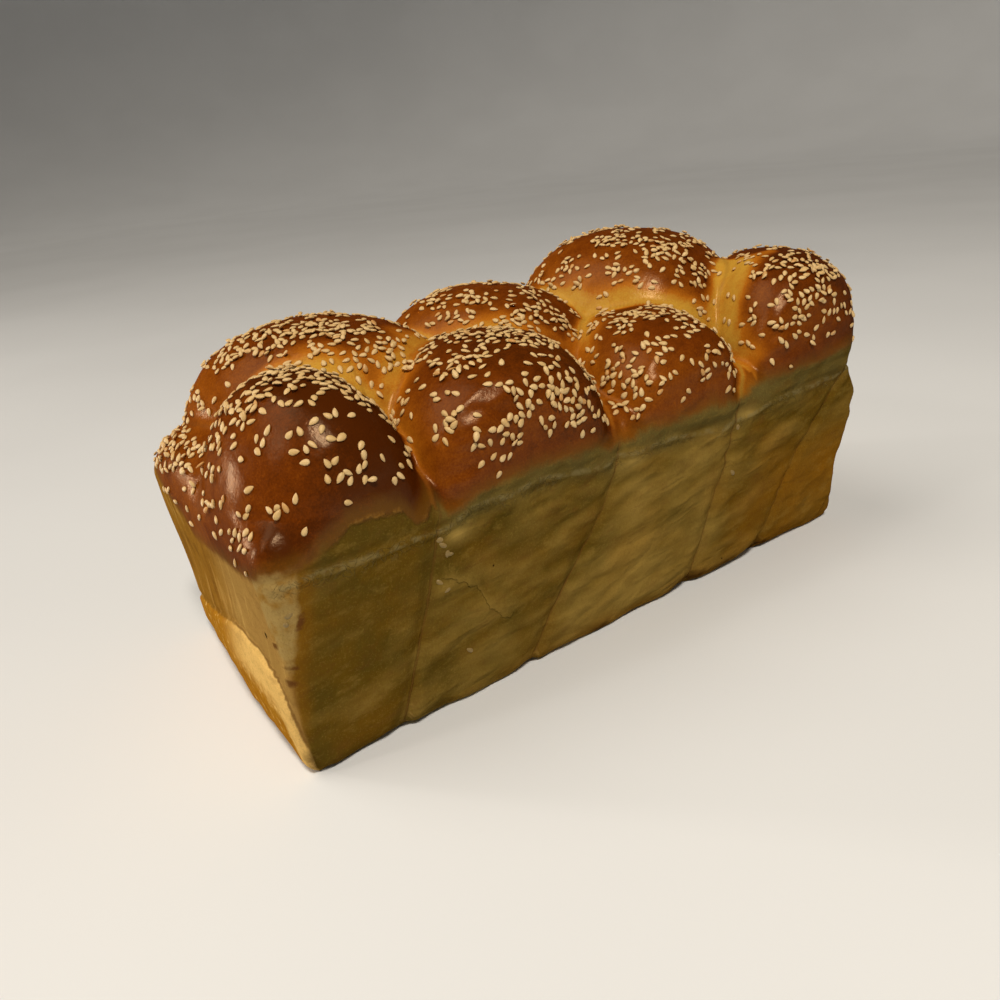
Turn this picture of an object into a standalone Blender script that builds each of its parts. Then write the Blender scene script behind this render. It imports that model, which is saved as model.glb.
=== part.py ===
"""A square challah: a plaited loaf baked in a long tin, with sesame seeds on its crowns.

Metres, +Z up, the loaf's length along X. The origin is the middle of the flat base. The front
(-Y) and the near end (-X) are the sides that a visitor sees first.

The form is one closed skin. Each point of a subdivided box slides along its own ray, out from a
flat core inside the loaf, until it meets the crust. The crust is where a signed field is zero: a
tapered tin-shaped body with the plait's seams pressed into its walls, and above the tin's rim the
smooth union of the strands' crowns.
"""

import math
import random
from typing import NamedTuple

import bmesh
import bpy
import numpy as np
from mathutils import Matrix, Vector
from mathutils.bvhtree import BVHTree

# The tin, inside, and how the dough filled it
TIN_LENGTH = 0.2340
TIN_WIDTH = 0.1040
TIN_DEPTH = 0.0650
TIN_DRAFT = 0.0026
TIN_MIDDLE = (-0.0018, 0.0007)
CORNER_RADIUS_AT_BASE = 0.0025
CORNER_RADIUS_AT_RIM = 0.0080
BASE_EDGE_RADIUS = 0.0040
BODY_TOP = 0.0750
BODY_TOP_RADIUS = 0.0120

# The flat core inside the loaf, from which every ray starts
CORE_HALF_LENGTH = 0.0880
CORE_HALF_WIDTH = 0.0260
CORE_HEIGHT = 0.0450

# How the crowns meet each other, the body and the walls of the air above the tin
CROWN_POWER = 2.5
CROWN_DEPTH_BELOW = 0.0300
CREASE_RADIUS = 0.0030
SHOULDER_RADIUS = 0.0080
RIM_RADIUS = 0.0015
CROWN_START_BELOW_RIM = 0.0020
OVERHANG = 0.0010
FAR_END_OVERHANG = 0.0030
OVERHANG_RISE = 0.0100
OVERHANG_AT_RIM = 0.0006
AIR_CORNER_RADIUS = 0.0090

# The seams between strands, pressed flat against the tin
SEAM_DEPTH = 0.0014
SEAM_HALF_WIDTH = 0.0030
SEAM_SHARP_SIDE = 0.0022
FOOT_NOTCH_DEPTH = 0.0028
FOOT_NOTCH_REACH = 0.0035
FOOT_HEIGHT = 0.0160

# The bulges of the two end walls: low at the near end, and under the rim at both
NEAR_FOOT_BULGE = 0.0030
NEAR_RIM_BULGE = 0.0025
FAR_RIM_BULGE = 0.0075
FAR_BULGE_HEIGHT = 0.0520

# The mesh
SKIN_STEP = 0.0018
SKIN_TRIANGLES = 4400
SOLVER_STEPS = 26
LONGEST_RAY = 0.1150
FLAT_WITHIN = 0.0001

# Sesame seeds at true size, as many as the model can carry
SEED_LENGTH = 0.0033
SEED_WIDTH = 0.0021
SEED_THICKNESS = 0.0013
SEED_SUNK = 0.0002
SEED_SPACING = 0.0046
SEED_RANDOM = 7


class Crown(NamedTuple):
    """One strand where it rises above the tin.

    x, y is the middle, reach is half its length, girth is half its width, top is its height and
    lean is the angle of its length from +Y towards +X, in degrees. belly is the height of its
    widest part, and seeds is how many of the fused seeds it carries.
    """

    name: str
    x: float
    y: float
    reach: float
    girth: float
    top: float
    belly: float
    lean: float
    seeds: int


class Seam(NamedTuple):
    """A seam down a long wall: where it leaves the rim, where it reaches the base, how open it is."""

    x_at_rim: float
    x_at_base: float
    openness: float


CROWNS = (
    Crown("front_1", -0.089, -0.020, 0.043, 0.033, 0.103, 0.063, 8, 32),
    Crown("front_2", -0.027, -0.022, 0.046, 0.032, 0.101, 0.061, 26, 28),
    Crown("front_3", 0.035, -0.022, 0.042, 0.029, 0.096, 0.061, 20, 22),
    Crown("front_4", 0.099, -0.026, 0.042, 0.027, 0.108, 0.061, 33, 22),
    Crown("front_4_side", 0.101, -0.029, 0.031, 0.024, 0.105, 0.061, 0, 6),
    Crown("back_1", -0.065, 0.024, 0.046, 0.040, 0.107, 0.061, -36, 26),
    Crown("back_2", 0.003, 0.025, 0.045, 0.037, 0.106, 0.061, -30, 22),
    Crown("back_3", 0.069, 0.022, 0.047, 0.043, 0.117, 0.063, -24, 26),
    Crown("near_tail", -0.101, 0.020, 0.038, 0.024, 0.083, 0.053, -8, 10),
    Crown("far_tail", 0.101, 0.024, 0.030, 0.022, 0.092, 0.058, 6, 5),
    Crown("under_front_2", 0.004, -0.032, 0.020, 0.012, 0.075, 0.058, 14, 0),
    Crown("under_front_3", 0.058, -0.032, 0.020, 0.012, 0.075, 0.058, 24, 0),
    Crown("back_3_tail", 0.081, -0.004, 0.034, 0.020, 0.102, 0.058, -34, 0),
    Crown("heart", 0.000, 0.000, 0.046, 0.112, 0.089, 0.053, 0, 0),
)

FRONT_SEAMS = (
    Seam(-0.067, -0.087, 1.00),
    Seam(-0.005, -0.041, 0.20),
    Seam(0.052, 0.031, 0.10),
    Seam(0.114, 0.067, 1.20),
)

BACK_SEAMS = (
    Seam(-0.098, -0.076, 0.80),
    Seam(-0.036, -0.010, 0.30),
    Seam(0.030, 0.054, 0.40),
    Seam(0.084, 0.100, 0.40),
)


def smooth_lower(a, b, radius):
    """The lower of two fields, with the crease between them rounded."""
    share = np.clip(0.5 + 0.5 * (b - a) / radius, 0.0, 1.0)
    return b * (1.0 - share) + a * share - radius * share * (1.0 - share)


def smooth_higher(a, b, radius):
    """The higher of two fields, with the edge between them rounded."""
    return -smooth_lower(-a, -b, radius)


def rounded_overlap(a, b, radius):
    """Where both fields are negative, with a quarter-round edge of this radius."""
    a = a + radius
    b = b + radius
    outside = np.hypot(np.maximum(a, 0.0), np.maximum(b, 0.0))
    return outside + np.minimum(np.maximum(a, b), 0.0) - radius


def past_tin_walls(points, grow):
    """Distance outside the tin's end walls and its long walls, at each point's own height."""
    height = np.clip(points[:, 2] / TIN_DEPTH, 0.0, 1.0)
    inset = TIN_DRAFT * (1.0 - height) - grow
    past_ends = np.abs(points[:, 0]) - (TIN_LENGTH / 2 - inset)
    past_sides = np.abs(points[:, 1]) - (TIN_WIDTH / 2 - inset)
    return past_ends, past_sides


def seam_depth(points):
    """How far the long walls are pressed in: a seam is a bell-shaped groove along a slanted line,
    and at the base the strand on one side of it rounds up off the tin's floor."""
    x, y, z = points.T
    depth = np.zeros(len(points))
    foot = np.clip(1.0 - z / FOOT_HEIGHT, 0.0, 1.0) ** 2
    for side, seams in ((-1, FRONT_SEAMS), (1, BACK_SEAMS)):
        on_wall = np.clip((side * y - 0.030) / 0.010, 0.0, 1.0)
        for seam in seams:
            up = np.clip(z / TIN_DEPTH, 0.0, 1.1)
            past = x - (seam.x_at_base + (seam.x_at_rim - seam.x_at_base) * up)
            round_side = past * side > 0.0
            wide = SEAM_HALF_WIDTH + FOOT_NOTCH_REACH * foot
            half_width = np.where(round_side, wide, SEAM_SHARP_SIDE)
            deepest = SEAM_DEPTH + FOOT_NOTCH_DEPTH * seam.openness * foot
            depth += on_wall * deepest * np.exp(-((past / half_width) ** 2))
    return depth


def end_bulge(points):
    """How far the end walls swell past the tin's plan, as bells over their height.

    The near end swells at its foot, and at its rim towards the back. The far end swells under its
    rim, and is pinched in at the rim itself.
    """
    x, y, z = points.T
    foot = np.exp(-(((z - 0.017) / 0.018) ** 2)) * np.exp(-(((y + 0.008) / 0.044) ** 2))
    rim = np.exp(-(((z - 0.062) / 0.026) ** 2)) * np.clip(0.5 + y / 0.050, 0.0, 1.0)
    near = NEAR_FOOT_BULGE * foot + NEAR_RIM_BULGE * rim
    spread = np.where(z > FAR_BULGE_HEIGHT, 0.009, 0.020)
    far = FAR_RIM_BULGE * np.exp(-(((z - FAR_BULGE_HEIGHT) / spread) ** 2))
    return np.where(x < 0.0, near, far)


def body_field(points):
    """The tin-shaped body: negative inside, zero on its wall."""
    up = np.clip(points[:, 2] / TIN_DEPTH, 0.0, 1.0)
    radius = CORNER_RADIUS_AT_BASE + (CORNER_RADIUS_AT_RIM - CORNER_RADIUS_AT_BASE) * up
    past_ends, past_sides = past_tin_walls(points, 0.0)
    past_ends = past_ends - end_bulge(points)
    past_sides = past_sides + seam_depth(points)
    wall = rounded_overlap(past_ends, past_sides, radius)
    standing = rounded_overlap(wall, -points[:, 2], BASE_EDGE_RADIUS)
    return rounded_overlap(standing, points[:, 2] - BODY_TOP, BODY_TOP_RADIUS)


def crown_field(points, crown):
    """A superellipsoid: its three scaled distances, each to CROWN_POWER, sum to 1 on the crust."""
    lean = math.radians(crown.lean)
    x = points[:, 0] - crown.x
    y = points[:, 1] - crown.y
    z = points[:, 2] - crown.belly
    along = x * math.sin(lean) + y * math.cos(lean)
    across = x * math.cos(lean) - y * math.sin(lean)
    height = np.where(z > 0.0, crown.top - crown.belly, CROWN_DEPTH_BELOW)
    scaled = np.stack((along / crown.reach, across / crown.girth, z / height))
    size = (np.abs(scaled) ** CROWN_POWER).sum(axis=0) ** (1.0 / CROWN_POWER)
    distance = np.sqrt(x * x + y * y + z * z)
    return (size - 1.0) * distance / np.maximum(size, 1e-6)


def air_field(points):
    """The air that the dough could rise into: straight up from the tin, a little past its rim."""
    rise = np.clip((points[:, 2] - TIN_DEPTH) / OVERHANG_RISE, 0.0, 1.0)
    far = np.clip((points[:, 0] - 0.080) / 0.030, 0.0, 1.0)
    near_back = np.clip((-points[:, 0] - 0.080) / 0.030, 0.0, 1.0)
    near_back = near_back * np.clip(0.5 + points[:, 1] / 0.050, 0.0, 1.0)
    grow = OVERHANG_AT_RIM + OVERHANG * rise + FAR_END_OVERHANG * rise * far
    grow = grow + NEAR_RIM_BULGE * near_back
    past_ends, past_sides = past_tin_walls(points, grow)
    return rounded_overlap(past_ends, past_sides, AIR_CORNER_RADIUS)


def loaf_field(points):
    """The whole loaf: negative inside, zero on the crust."""
    crowns = crown_field(points, CROWNS[0])
    for crown in CROWNS[1:]:
        crowns = smooth_lower(crowns, crown_field(points, crown), CREASE_RADIUS)
    crowns = smooth_higher(crowns, air_field(points), SHOULDER_RADIUS)
    above_rim = TIN_DEPTH - CROWN_START_BELOW_RIM - points[:, 2]
    crowns = smooth_higher(crowns, above_rim, 2 * RIM_RADIUS)
    return smooth_lower(crowns, body_field(points), RIM_RADIUS)


def onto_crust(box_points):
    """Slides each point of the box along its ray from the core until the field is zero.

    A ray starts at the core's nearest point, so it is upright over the core and fans out round
    the core's edges. The crossing is found by halving the interval it lies in.
    """
    core = (CORE_HALF_LENGTH, CORE_HALF_WIDTH, 0.0)
    start = np.clip(box_points, np.negative(core), core)
    start[:, 2] = CORE_HEIGHT
    way = box_points - start
    way /= np.linalg.norm(way, axis=1, keepdims=True)
    near = np.full(len(box_points), 0.005)
    far = np.full(len(box_points), LONGEST_RAY * 2)
    for _ in range(SOLVER_STEPS):
        middle = (near + far) / 2
        inside = loaf_field(start + way * middle[:, None]) < 0.0
        near = np.where(inside, middle, near)
        far = np.where(inside, far, middle)
    return start + way * ((near + far) / 2)[:, None]


def clear_scene():
    """Starts from an empty scene."""
    for old in list(bpy.data.objects):
        bpy.data.objects.remove(old)


def new_collection(name):
    """A collection in the scene."""
    collection = bpy.data.collections.new(name)
    bpy.context.scene.collection.children.link(collection)
    return collection


def principled(name, colour, roughness):
    """A Principled BSDF material of one colour."""
    material = bpy.data.materials.new(name)
    material.use_nodes = True
    shader = material.node_tree.nodes["Principled BSDF"]
    shader.inputs["Base Color"].default_value = (*colour, 1.0)
    shader.inputs["Roughness"].default_value = roughness
    shader.inputs["Metallic"].default_value = 0.0
    return material


def subdivided_box(sides, step):
    """A cube primitive stretched to these sides, standing on z = 0, cut into cells of one step."""
    bm = bmesh.new()
    bmesh.ops.create_cube(bm, size=1.0)
    bmesh.ops.scale(bm, vec=sides, verts=bm.verts)
    bmesh.ops.translate(bm, vec=(0.0, 0.0, sides[2] / 2), verts=bm.verts)
    for axis in range(3):
        parallel = [
            edge
            for edge in bm.edges
            if abs((edge.verts[0].co - edge.verts[1].co)[axis]) > step
        ]
        cuts = round(sides[axis] / step) - 1
        bmesh.ops.subdivide_edges(bm, edges=parallel, cuts=cuts, use_grid_fill=True)
    return bm


def make_loaf(collection, crust):
    """The bare loaf: the box slid onto the crust, then decimated where it is flat."""
    bm = subdivided_box((TIN_LENGTH, TIN_WIDTH, CROWNS[0].top), SKIN_STEP)
    mesh = bpy.data.meshes.new("challah")
    bm.to_mesh(mesh)
    bm.free()
    points = np.empty(len(mesh.vertices) * 3, np.float32)
    mesh.vertices.foreach_get("co", points)
    points = onto_crust(points.reshape(-1, 3).astype(np.float64))
    mesh.vertices.foreach_set("co", points.astype(np.float32).ravel())
    mesh.update()
    mesh.materials.append(crust)
    loaf = bpy.data.objects.new("challah", mesh)
    collection.objects.link(loaf)

    decimate = loaf.modifiers.new("Fewer faces where flat", "DECIMATE")
    decimate.ratio = SKIN_TRIANGLES / (2 * len(mesh.polygons))
    decimate.use_collapse_triangulate = True
    apply_modifiers(loaf)
    for vert in loaf.data.vertices:
        if vert.co.z < FLAT_WITHIN:
            vert.co.z = 0.0
    return loaf


def apply_modifiers(obj):
    """Replaces the object's mesh with its evaluated one."""
    graph = bpy.context.evaluated_depsgraph_get()
    evaluated = obj.evaluated_get(graph)
    made = bpy.data.meshes.new_from_object(evaluated)
    obj.modifiers.clear()
    obj.data = made


def seed_mesh(sesame):
    """One sesame seed along X: a sphere primitive, flattened and drawn out to a blunt point."""
    bm = bmesh.new()
    bmesh.ops.create_uvsphere(bm, u_segments=5, v_segments=3, radius=0.5)
    bmesh.ops.rotate(bm, matrix=Matrix.Rotation(math.pi / 2, 3, "Y"), verts=bm.verts)
    for vert in bm.verts:
        narrow = 1.0 - 0.45 * (vert.co.x + 0.25)
        vert.co.x *= SEED_LENGTH
        vert.co.y *= SEED_WIDTH * narrow
        vert.co.z *= SEED_THICKNESS * narrow
    bmesh.ops.recalc_face_normals(bm, faces=bm.faces)
    mesh = bpy.data.meshes.new("sesame_seed")
    bm.to_mesh(mesh)
    bm.free()
    mesh.materials.append(sesame)
    return mesh


def crown_direction(rng):
    """A direction on the upper half of a crown, more often near its crest than low on its side."""
    turn = rng.uniform(0.0, 2.0 * math.pi)
    tilt = math.radians(82.0) * rng.random() ** 0.8
    flat = math.sin(tilt)
    return Vector((flat * math.cos(turn), flat * math.sin(turn), math.cos(tilt)))


def nearest_crown(location):
    """The crown whose surface the point lies on."""
    point = np.array([location[:]])
    return min(CROWNS, key=lambda crown: crown_field(point, crown)[0])


def scatter_seeds(loaf, collection, sesame):
    """Seeds on each crown, clear of each other, turned at random and lying along the crust."""
    rng = random.Random(SEED_RANDOM)
    tree = BVHTree.FromObject(loaf, bpy.context.evaluated_depsgraph_get())
    mesh = seed_mesh(sesame)
    placed = []
    for crown in CROWNS:
        middle = Vector((crown.x, crown.y, crown.belly))
        on_this = 0
        for _ in range(60 * crown.seeds):
            if on_this == crown.seeds:
                break
            way = crown_direction(rng)
            turn = rng.uniform(0.0, 2.0 * math.pi)
            hit, normal, _, _ = tree.ray_cast(middle + way * LONGEST_RAY, -way)
            if hit is None or hit.z < TIN_DEPTH + SEED_LENGTH:
                continue
            if nearest_crown(hit) is not crown:
                continue
            if any((hit - other).length < SEED_SPACING for other in placed):
                continue
            seed = bpy.data.objects.new(f"seed_{len(placed):03d}", mesh)
            lying = normal.to_track_quat("Z", "X").to_matrix() @ Matrix.Rotation(turn, 3, "Z")
            lift = SEED_THICKNESS / 2 - SEED_SUNK - 0.0002
            seed.matrix_world = Matrix.Translation(hit + normal * lift) @ lying.to_4x4()
            collection.objects.link(seed)
            placed.append(hit)
            on_this += 1


def fuse(loaf, collection):
    """One Boolean union of the loaf with everything in the collection, which is then removed."""
    union = loaf.modifiers.new("Seeds baked on", "BOOLEAN")
    union.operation = "UNION"
    union.operand_type = "COLLECTION"
    union.collection = collection
    union.solver = "EXACT"
    union.material_mode = "TRANSFER"
    apply_modifiers(loaf)
    for seed in list(collection.objects):
        bpy.data.objects.remove(seed)
    bpy.data.collections.remove(collection)


def centre_on_origin(loaf):
    """Moves the loaf, worked out about the tin's middle, so that its own middle is the origin."""
    loaf.data.transform(Matrix.Translation((*TIN_MIDDLE, 0.0)))


def main():
    clear_scene()
    challah = new_collection("Square challah")
    seeds = new_collection("Sesame seeds")
    crust = principled("golden_crust", (0.36, 0.15, 0.045), 0.45)
    sesame = principled("sesame", (0.80, 0.66, 0.42), 0.55)
    loaf = make_loaf(challah, crust)
    scatter_seeds(loaf, seeds, sesame)
    fuse(loaf, seeds)
    centre_on_origin(loaf)


main()
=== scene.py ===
"""The looks of a square challah: its glazed and browned plait, its pale tin-baked walls, its sesame.

Metres, +Z up. The loaf's form is worked out about the middle of its tin, front (-Y) and near end
(-X) first, and is then moved so that the middle of its base is the origin, as the solid's is.
"""

import itertools
import logging
import math
from collections.abc import Mapping, Sequence
from dataclasses import dataclass, field
from enum import Enum
from typing import Any

import bpy
import numpy as np
from mathutils import Matrix, Vector
from mathutils.bvhtree import BVHTree


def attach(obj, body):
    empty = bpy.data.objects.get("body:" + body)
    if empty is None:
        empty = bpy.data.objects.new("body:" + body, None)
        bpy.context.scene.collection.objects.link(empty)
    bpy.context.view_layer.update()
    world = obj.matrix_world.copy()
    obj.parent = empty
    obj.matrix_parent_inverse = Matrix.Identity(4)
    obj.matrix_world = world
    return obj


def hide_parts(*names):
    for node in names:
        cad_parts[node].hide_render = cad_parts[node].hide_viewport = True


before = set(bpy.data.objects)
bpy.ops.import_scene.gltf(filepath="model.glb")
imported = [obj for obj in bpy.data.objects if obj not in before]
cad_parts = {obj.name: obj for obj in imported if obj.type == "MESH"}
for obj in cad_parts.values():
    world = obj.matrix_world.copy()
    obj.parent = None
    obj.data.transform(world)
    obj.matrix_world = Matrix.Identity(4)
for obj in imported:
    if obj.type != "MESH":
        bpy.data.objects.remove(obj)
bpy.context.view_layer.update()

Array = np.ndarray
Colour = tuple[float, float, float]
Seed = tuple[Vector, Vector, float]
log = logging.getLogger("challah")


def smooth_lower(a: Array, b: Array, radius: float) -> Array:
    """The lower of two fields, with the crease between them rounded by a parabola.

    Args:
        a, b: the two fields.
        radius: how far apart they may be and still be blended, in metres.

    Returns:
        The blended field.
    """
    share = np.clip(0.5 + 0.5 * (b - a) / radius, 0.0, 1.0)
    return b * (1.0 - share) + a * share - radius * share * (1.0 - share)


def smooth_higher(a: Array, b: Array, radius: float) -> Array:
    """The higher of two fields, with the edge between them rounded by a parabola."""
    return -smooth_lower(-a, -b, radius)


def rounded_overlap(a: Array, b: Array, radius: float | Array) -> Array:
    """Where both fields are negative, with a quarter-round edge of this radius."""
    a = a + radius
    b = b + radius
    outside = np.hypot(np.maximum(a, 0.0), np.maximum(b, 0.0))
    return outside + np.minimum(np.maximum(a, b), 0.0) - radius


def eased(value: Array, low: float | Array, high: float | Array) -> Array:
    """0 below low, 1 above high, and 3t^2 - 2t^3 between them."""
    share = np.clip((value - low) / (high - low), 0.0, 1.0)
    return share * share * (3.0 - 2.0 * share)


def bell(value: Array, middle: float | Array, width: float | Array) -> Array:
    """A bell curve: e to minus the square of the distance from its middle, in widths."""
    return np.exp(-(((value - middle) / width) ** 2))


class Noise:
    """Gradient noise in three dimensions, for whole arrays of points at once.

    Each corner of a unit lattice has its own slope. A point's value is the slopes of its cell's
    eight corners, each dotted with the way from the corner, blended by 6t^5 - 15t^4 + 10t^3.
    """

    LOUDEST = 1.6

    def __init__(self, seed: int) -> None:
        """Draws the lattice's slopes from one seed."""
        rng = np.random.default_rng(seed)
        self.order = rng.permutation(256)
        slopes = rng.normal(size=(256, 3))
        self.slopes = slopes / np.linalg.norm(slopes, axis=1, keepdims=True)

    def at(self, points: Array, size: float | Sequence[float]) -> Array:
        """The noise at each point.

        Args:
            points: one row of three numbers for each point.
            size: how long one lattice cell is, alike or on each axis.

        Returns:
            About -1 to 1 for each point.
        """
        cells = points / np.asarray(size)
        corner = np.floor(cells).astype(np.int64)
        part = cells - corner
        ease = part**3 * (part * (part * 6.0 - 15.0) + 10.0)
        total = np.zeros(len(points))
        for step in itertools.product((0, 1), repeat=3):
            place = (corner + step) & 255
            key = self.order[place[:, 0]] + place[:, 1]
            key = self.order[key & 255] + place[:, 2]
            slope = self.slopes[self.order[key & 255]]
            weight = np.where(np.array(step) == 1, ease, 1.0 - ease).prod(axis=1)
            total += weight * (slope * (part - step)).sum(axis=1)
        return total * self.LOUDEST


class Side(Enum):
    """A long wall of the loaf, by the sign of its Y."""

    FRONT = -1
    BACK = 1


@dataclass(frozen=True)
class Tin:
    """The inside of the tin, and how the dough filled it."""

    length: float = 0.2340
    width: float = 0.1040
    depth: float = 0.0650
    draft: float = 0.0026
    middle: tuple[float, float] = (-0.0018, 0.0007)
    corner_at_base: float = 0.0025
    corner_at_rim: float = 0.0080
    base_edge: float = 0.0040

    def past_walls(self, points: Array, grow: float | Array) -> tuple[Array, Array]:
        """Distance outside the end walls and the long walls, which lean out towards the rim."""
        height = np.clip(points[:, 2] / self.depth, 0.0, 1.0)
        inset = self.draft * (1.0 - height) - grow
        past_ends = np.abs(points[:, 0]) - (self.length / 2 - inset)
        past_sides = np.abs(points[:, 1]) - (self.width / 2 - inset)
        return past_ends, past_sides


@dataclass(frozen=True)
class Crown:
    """One strand where it rises above the tin.

    x, y is the middle, reach is half its length, girth is half its width, top is its height, belly
    is the height of its widest part, and lean is the angle of its length from +Y towards +X in
    degrees. tone is how dark it is baked. It comes out from under its neighbours on the side that
    tucked gives, in degrees from +X towards +Y, where it is pale for a width of tuck, fade is
    how much of that width the change to brown takes, pale_from how far above the border it
    begins and palest how brown it is there. power is how boxy it is: 2 is an ellipsoid.
    """

    strand: str
    x: float
    y: float
    reach: float
    girth: float
    top: float
    belly: float
    lean: float
    tone: float
    tucked: float = 0.0
    tuck: float = 0.0
    fade: float = 0.85
    pale_from: float = -0.005
    palest: float = 0.03
    power: float = 2.5

    DEPTH_BELOW = 0.0300

    def field(self, points: Array) -> Array:
        """A superellipsoid: its three scaled distances, each to its power, sum to 1 on the crust.

        Args:
            points: one row of three numbers for each point.

        Returns:
            About the distance to its crust, negative inside.
        """
        lean = math.radians(self.lean)
        x = points[:, 0] - self.x
        y = points[:, 1] - self.y
        z = points[:, 2] - self.belly
        along = x * math.sin(lean) + y * math.cos(lean)
        across = x * math.cos(lean) - y * math.sin(lean)
        height = np.where(z > 0.0, self.top - self.belly, self.DEPTH_BELOW)
        scaled = np.stack((along / self.reach, across / self.girth, z / height))
        size = (np.abs(scaled) ** self.power).sum(axis=0) ** (1.0 / self.power)
        distance = np.sqrt(x * x + y * y + z * z)
        return (size - 1.0) * distance / np.maximum(size, 1e-6)

    def facing_tucked(self, points: Array) -> Array:
        """1 on the side that comes out from under the neighbours, falling to 0 half way round."""
        x = points[:, 0] - self.x
        y = points[:, 1] - self.y
        turn = np.arctan2(y, x) - math.radians(self.tucked)
        return np.clip(np.cos(turn), 0.0, 1.0)


@dataclass(frozen=True)
class Seam:
    """A seam down a long wall, pressed flat against the tin.

    It runs from x_at_base to x_at_rim, bowed towards +X by bow at bow_height. At its foot the
    strand beside it rounds up off the tin's floor, the more the more open it is.
    """

    side: Side
    x_at_rim: float
    x_at_base: float
    openness: float
    bow: float = 0.0
    bow_height: float = 0.0400

    BOW_SPREAD = 0.0200

    def past(self, points: Array, depth: float) -> Array:
        """How far towards +X each point is past the seam, at the point's own height."""
        up = np.clip(points[:, 2] / depth, 0.0, 1.1)
        line = self.x_at_base + (self.x_at_rim - self.x_at_base) * up
        bowed = self.bow * bell(points[:, 2], self.bow_height, self.BOW_SPREAD)
        return points[:, 0] - line - bowed


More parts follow.
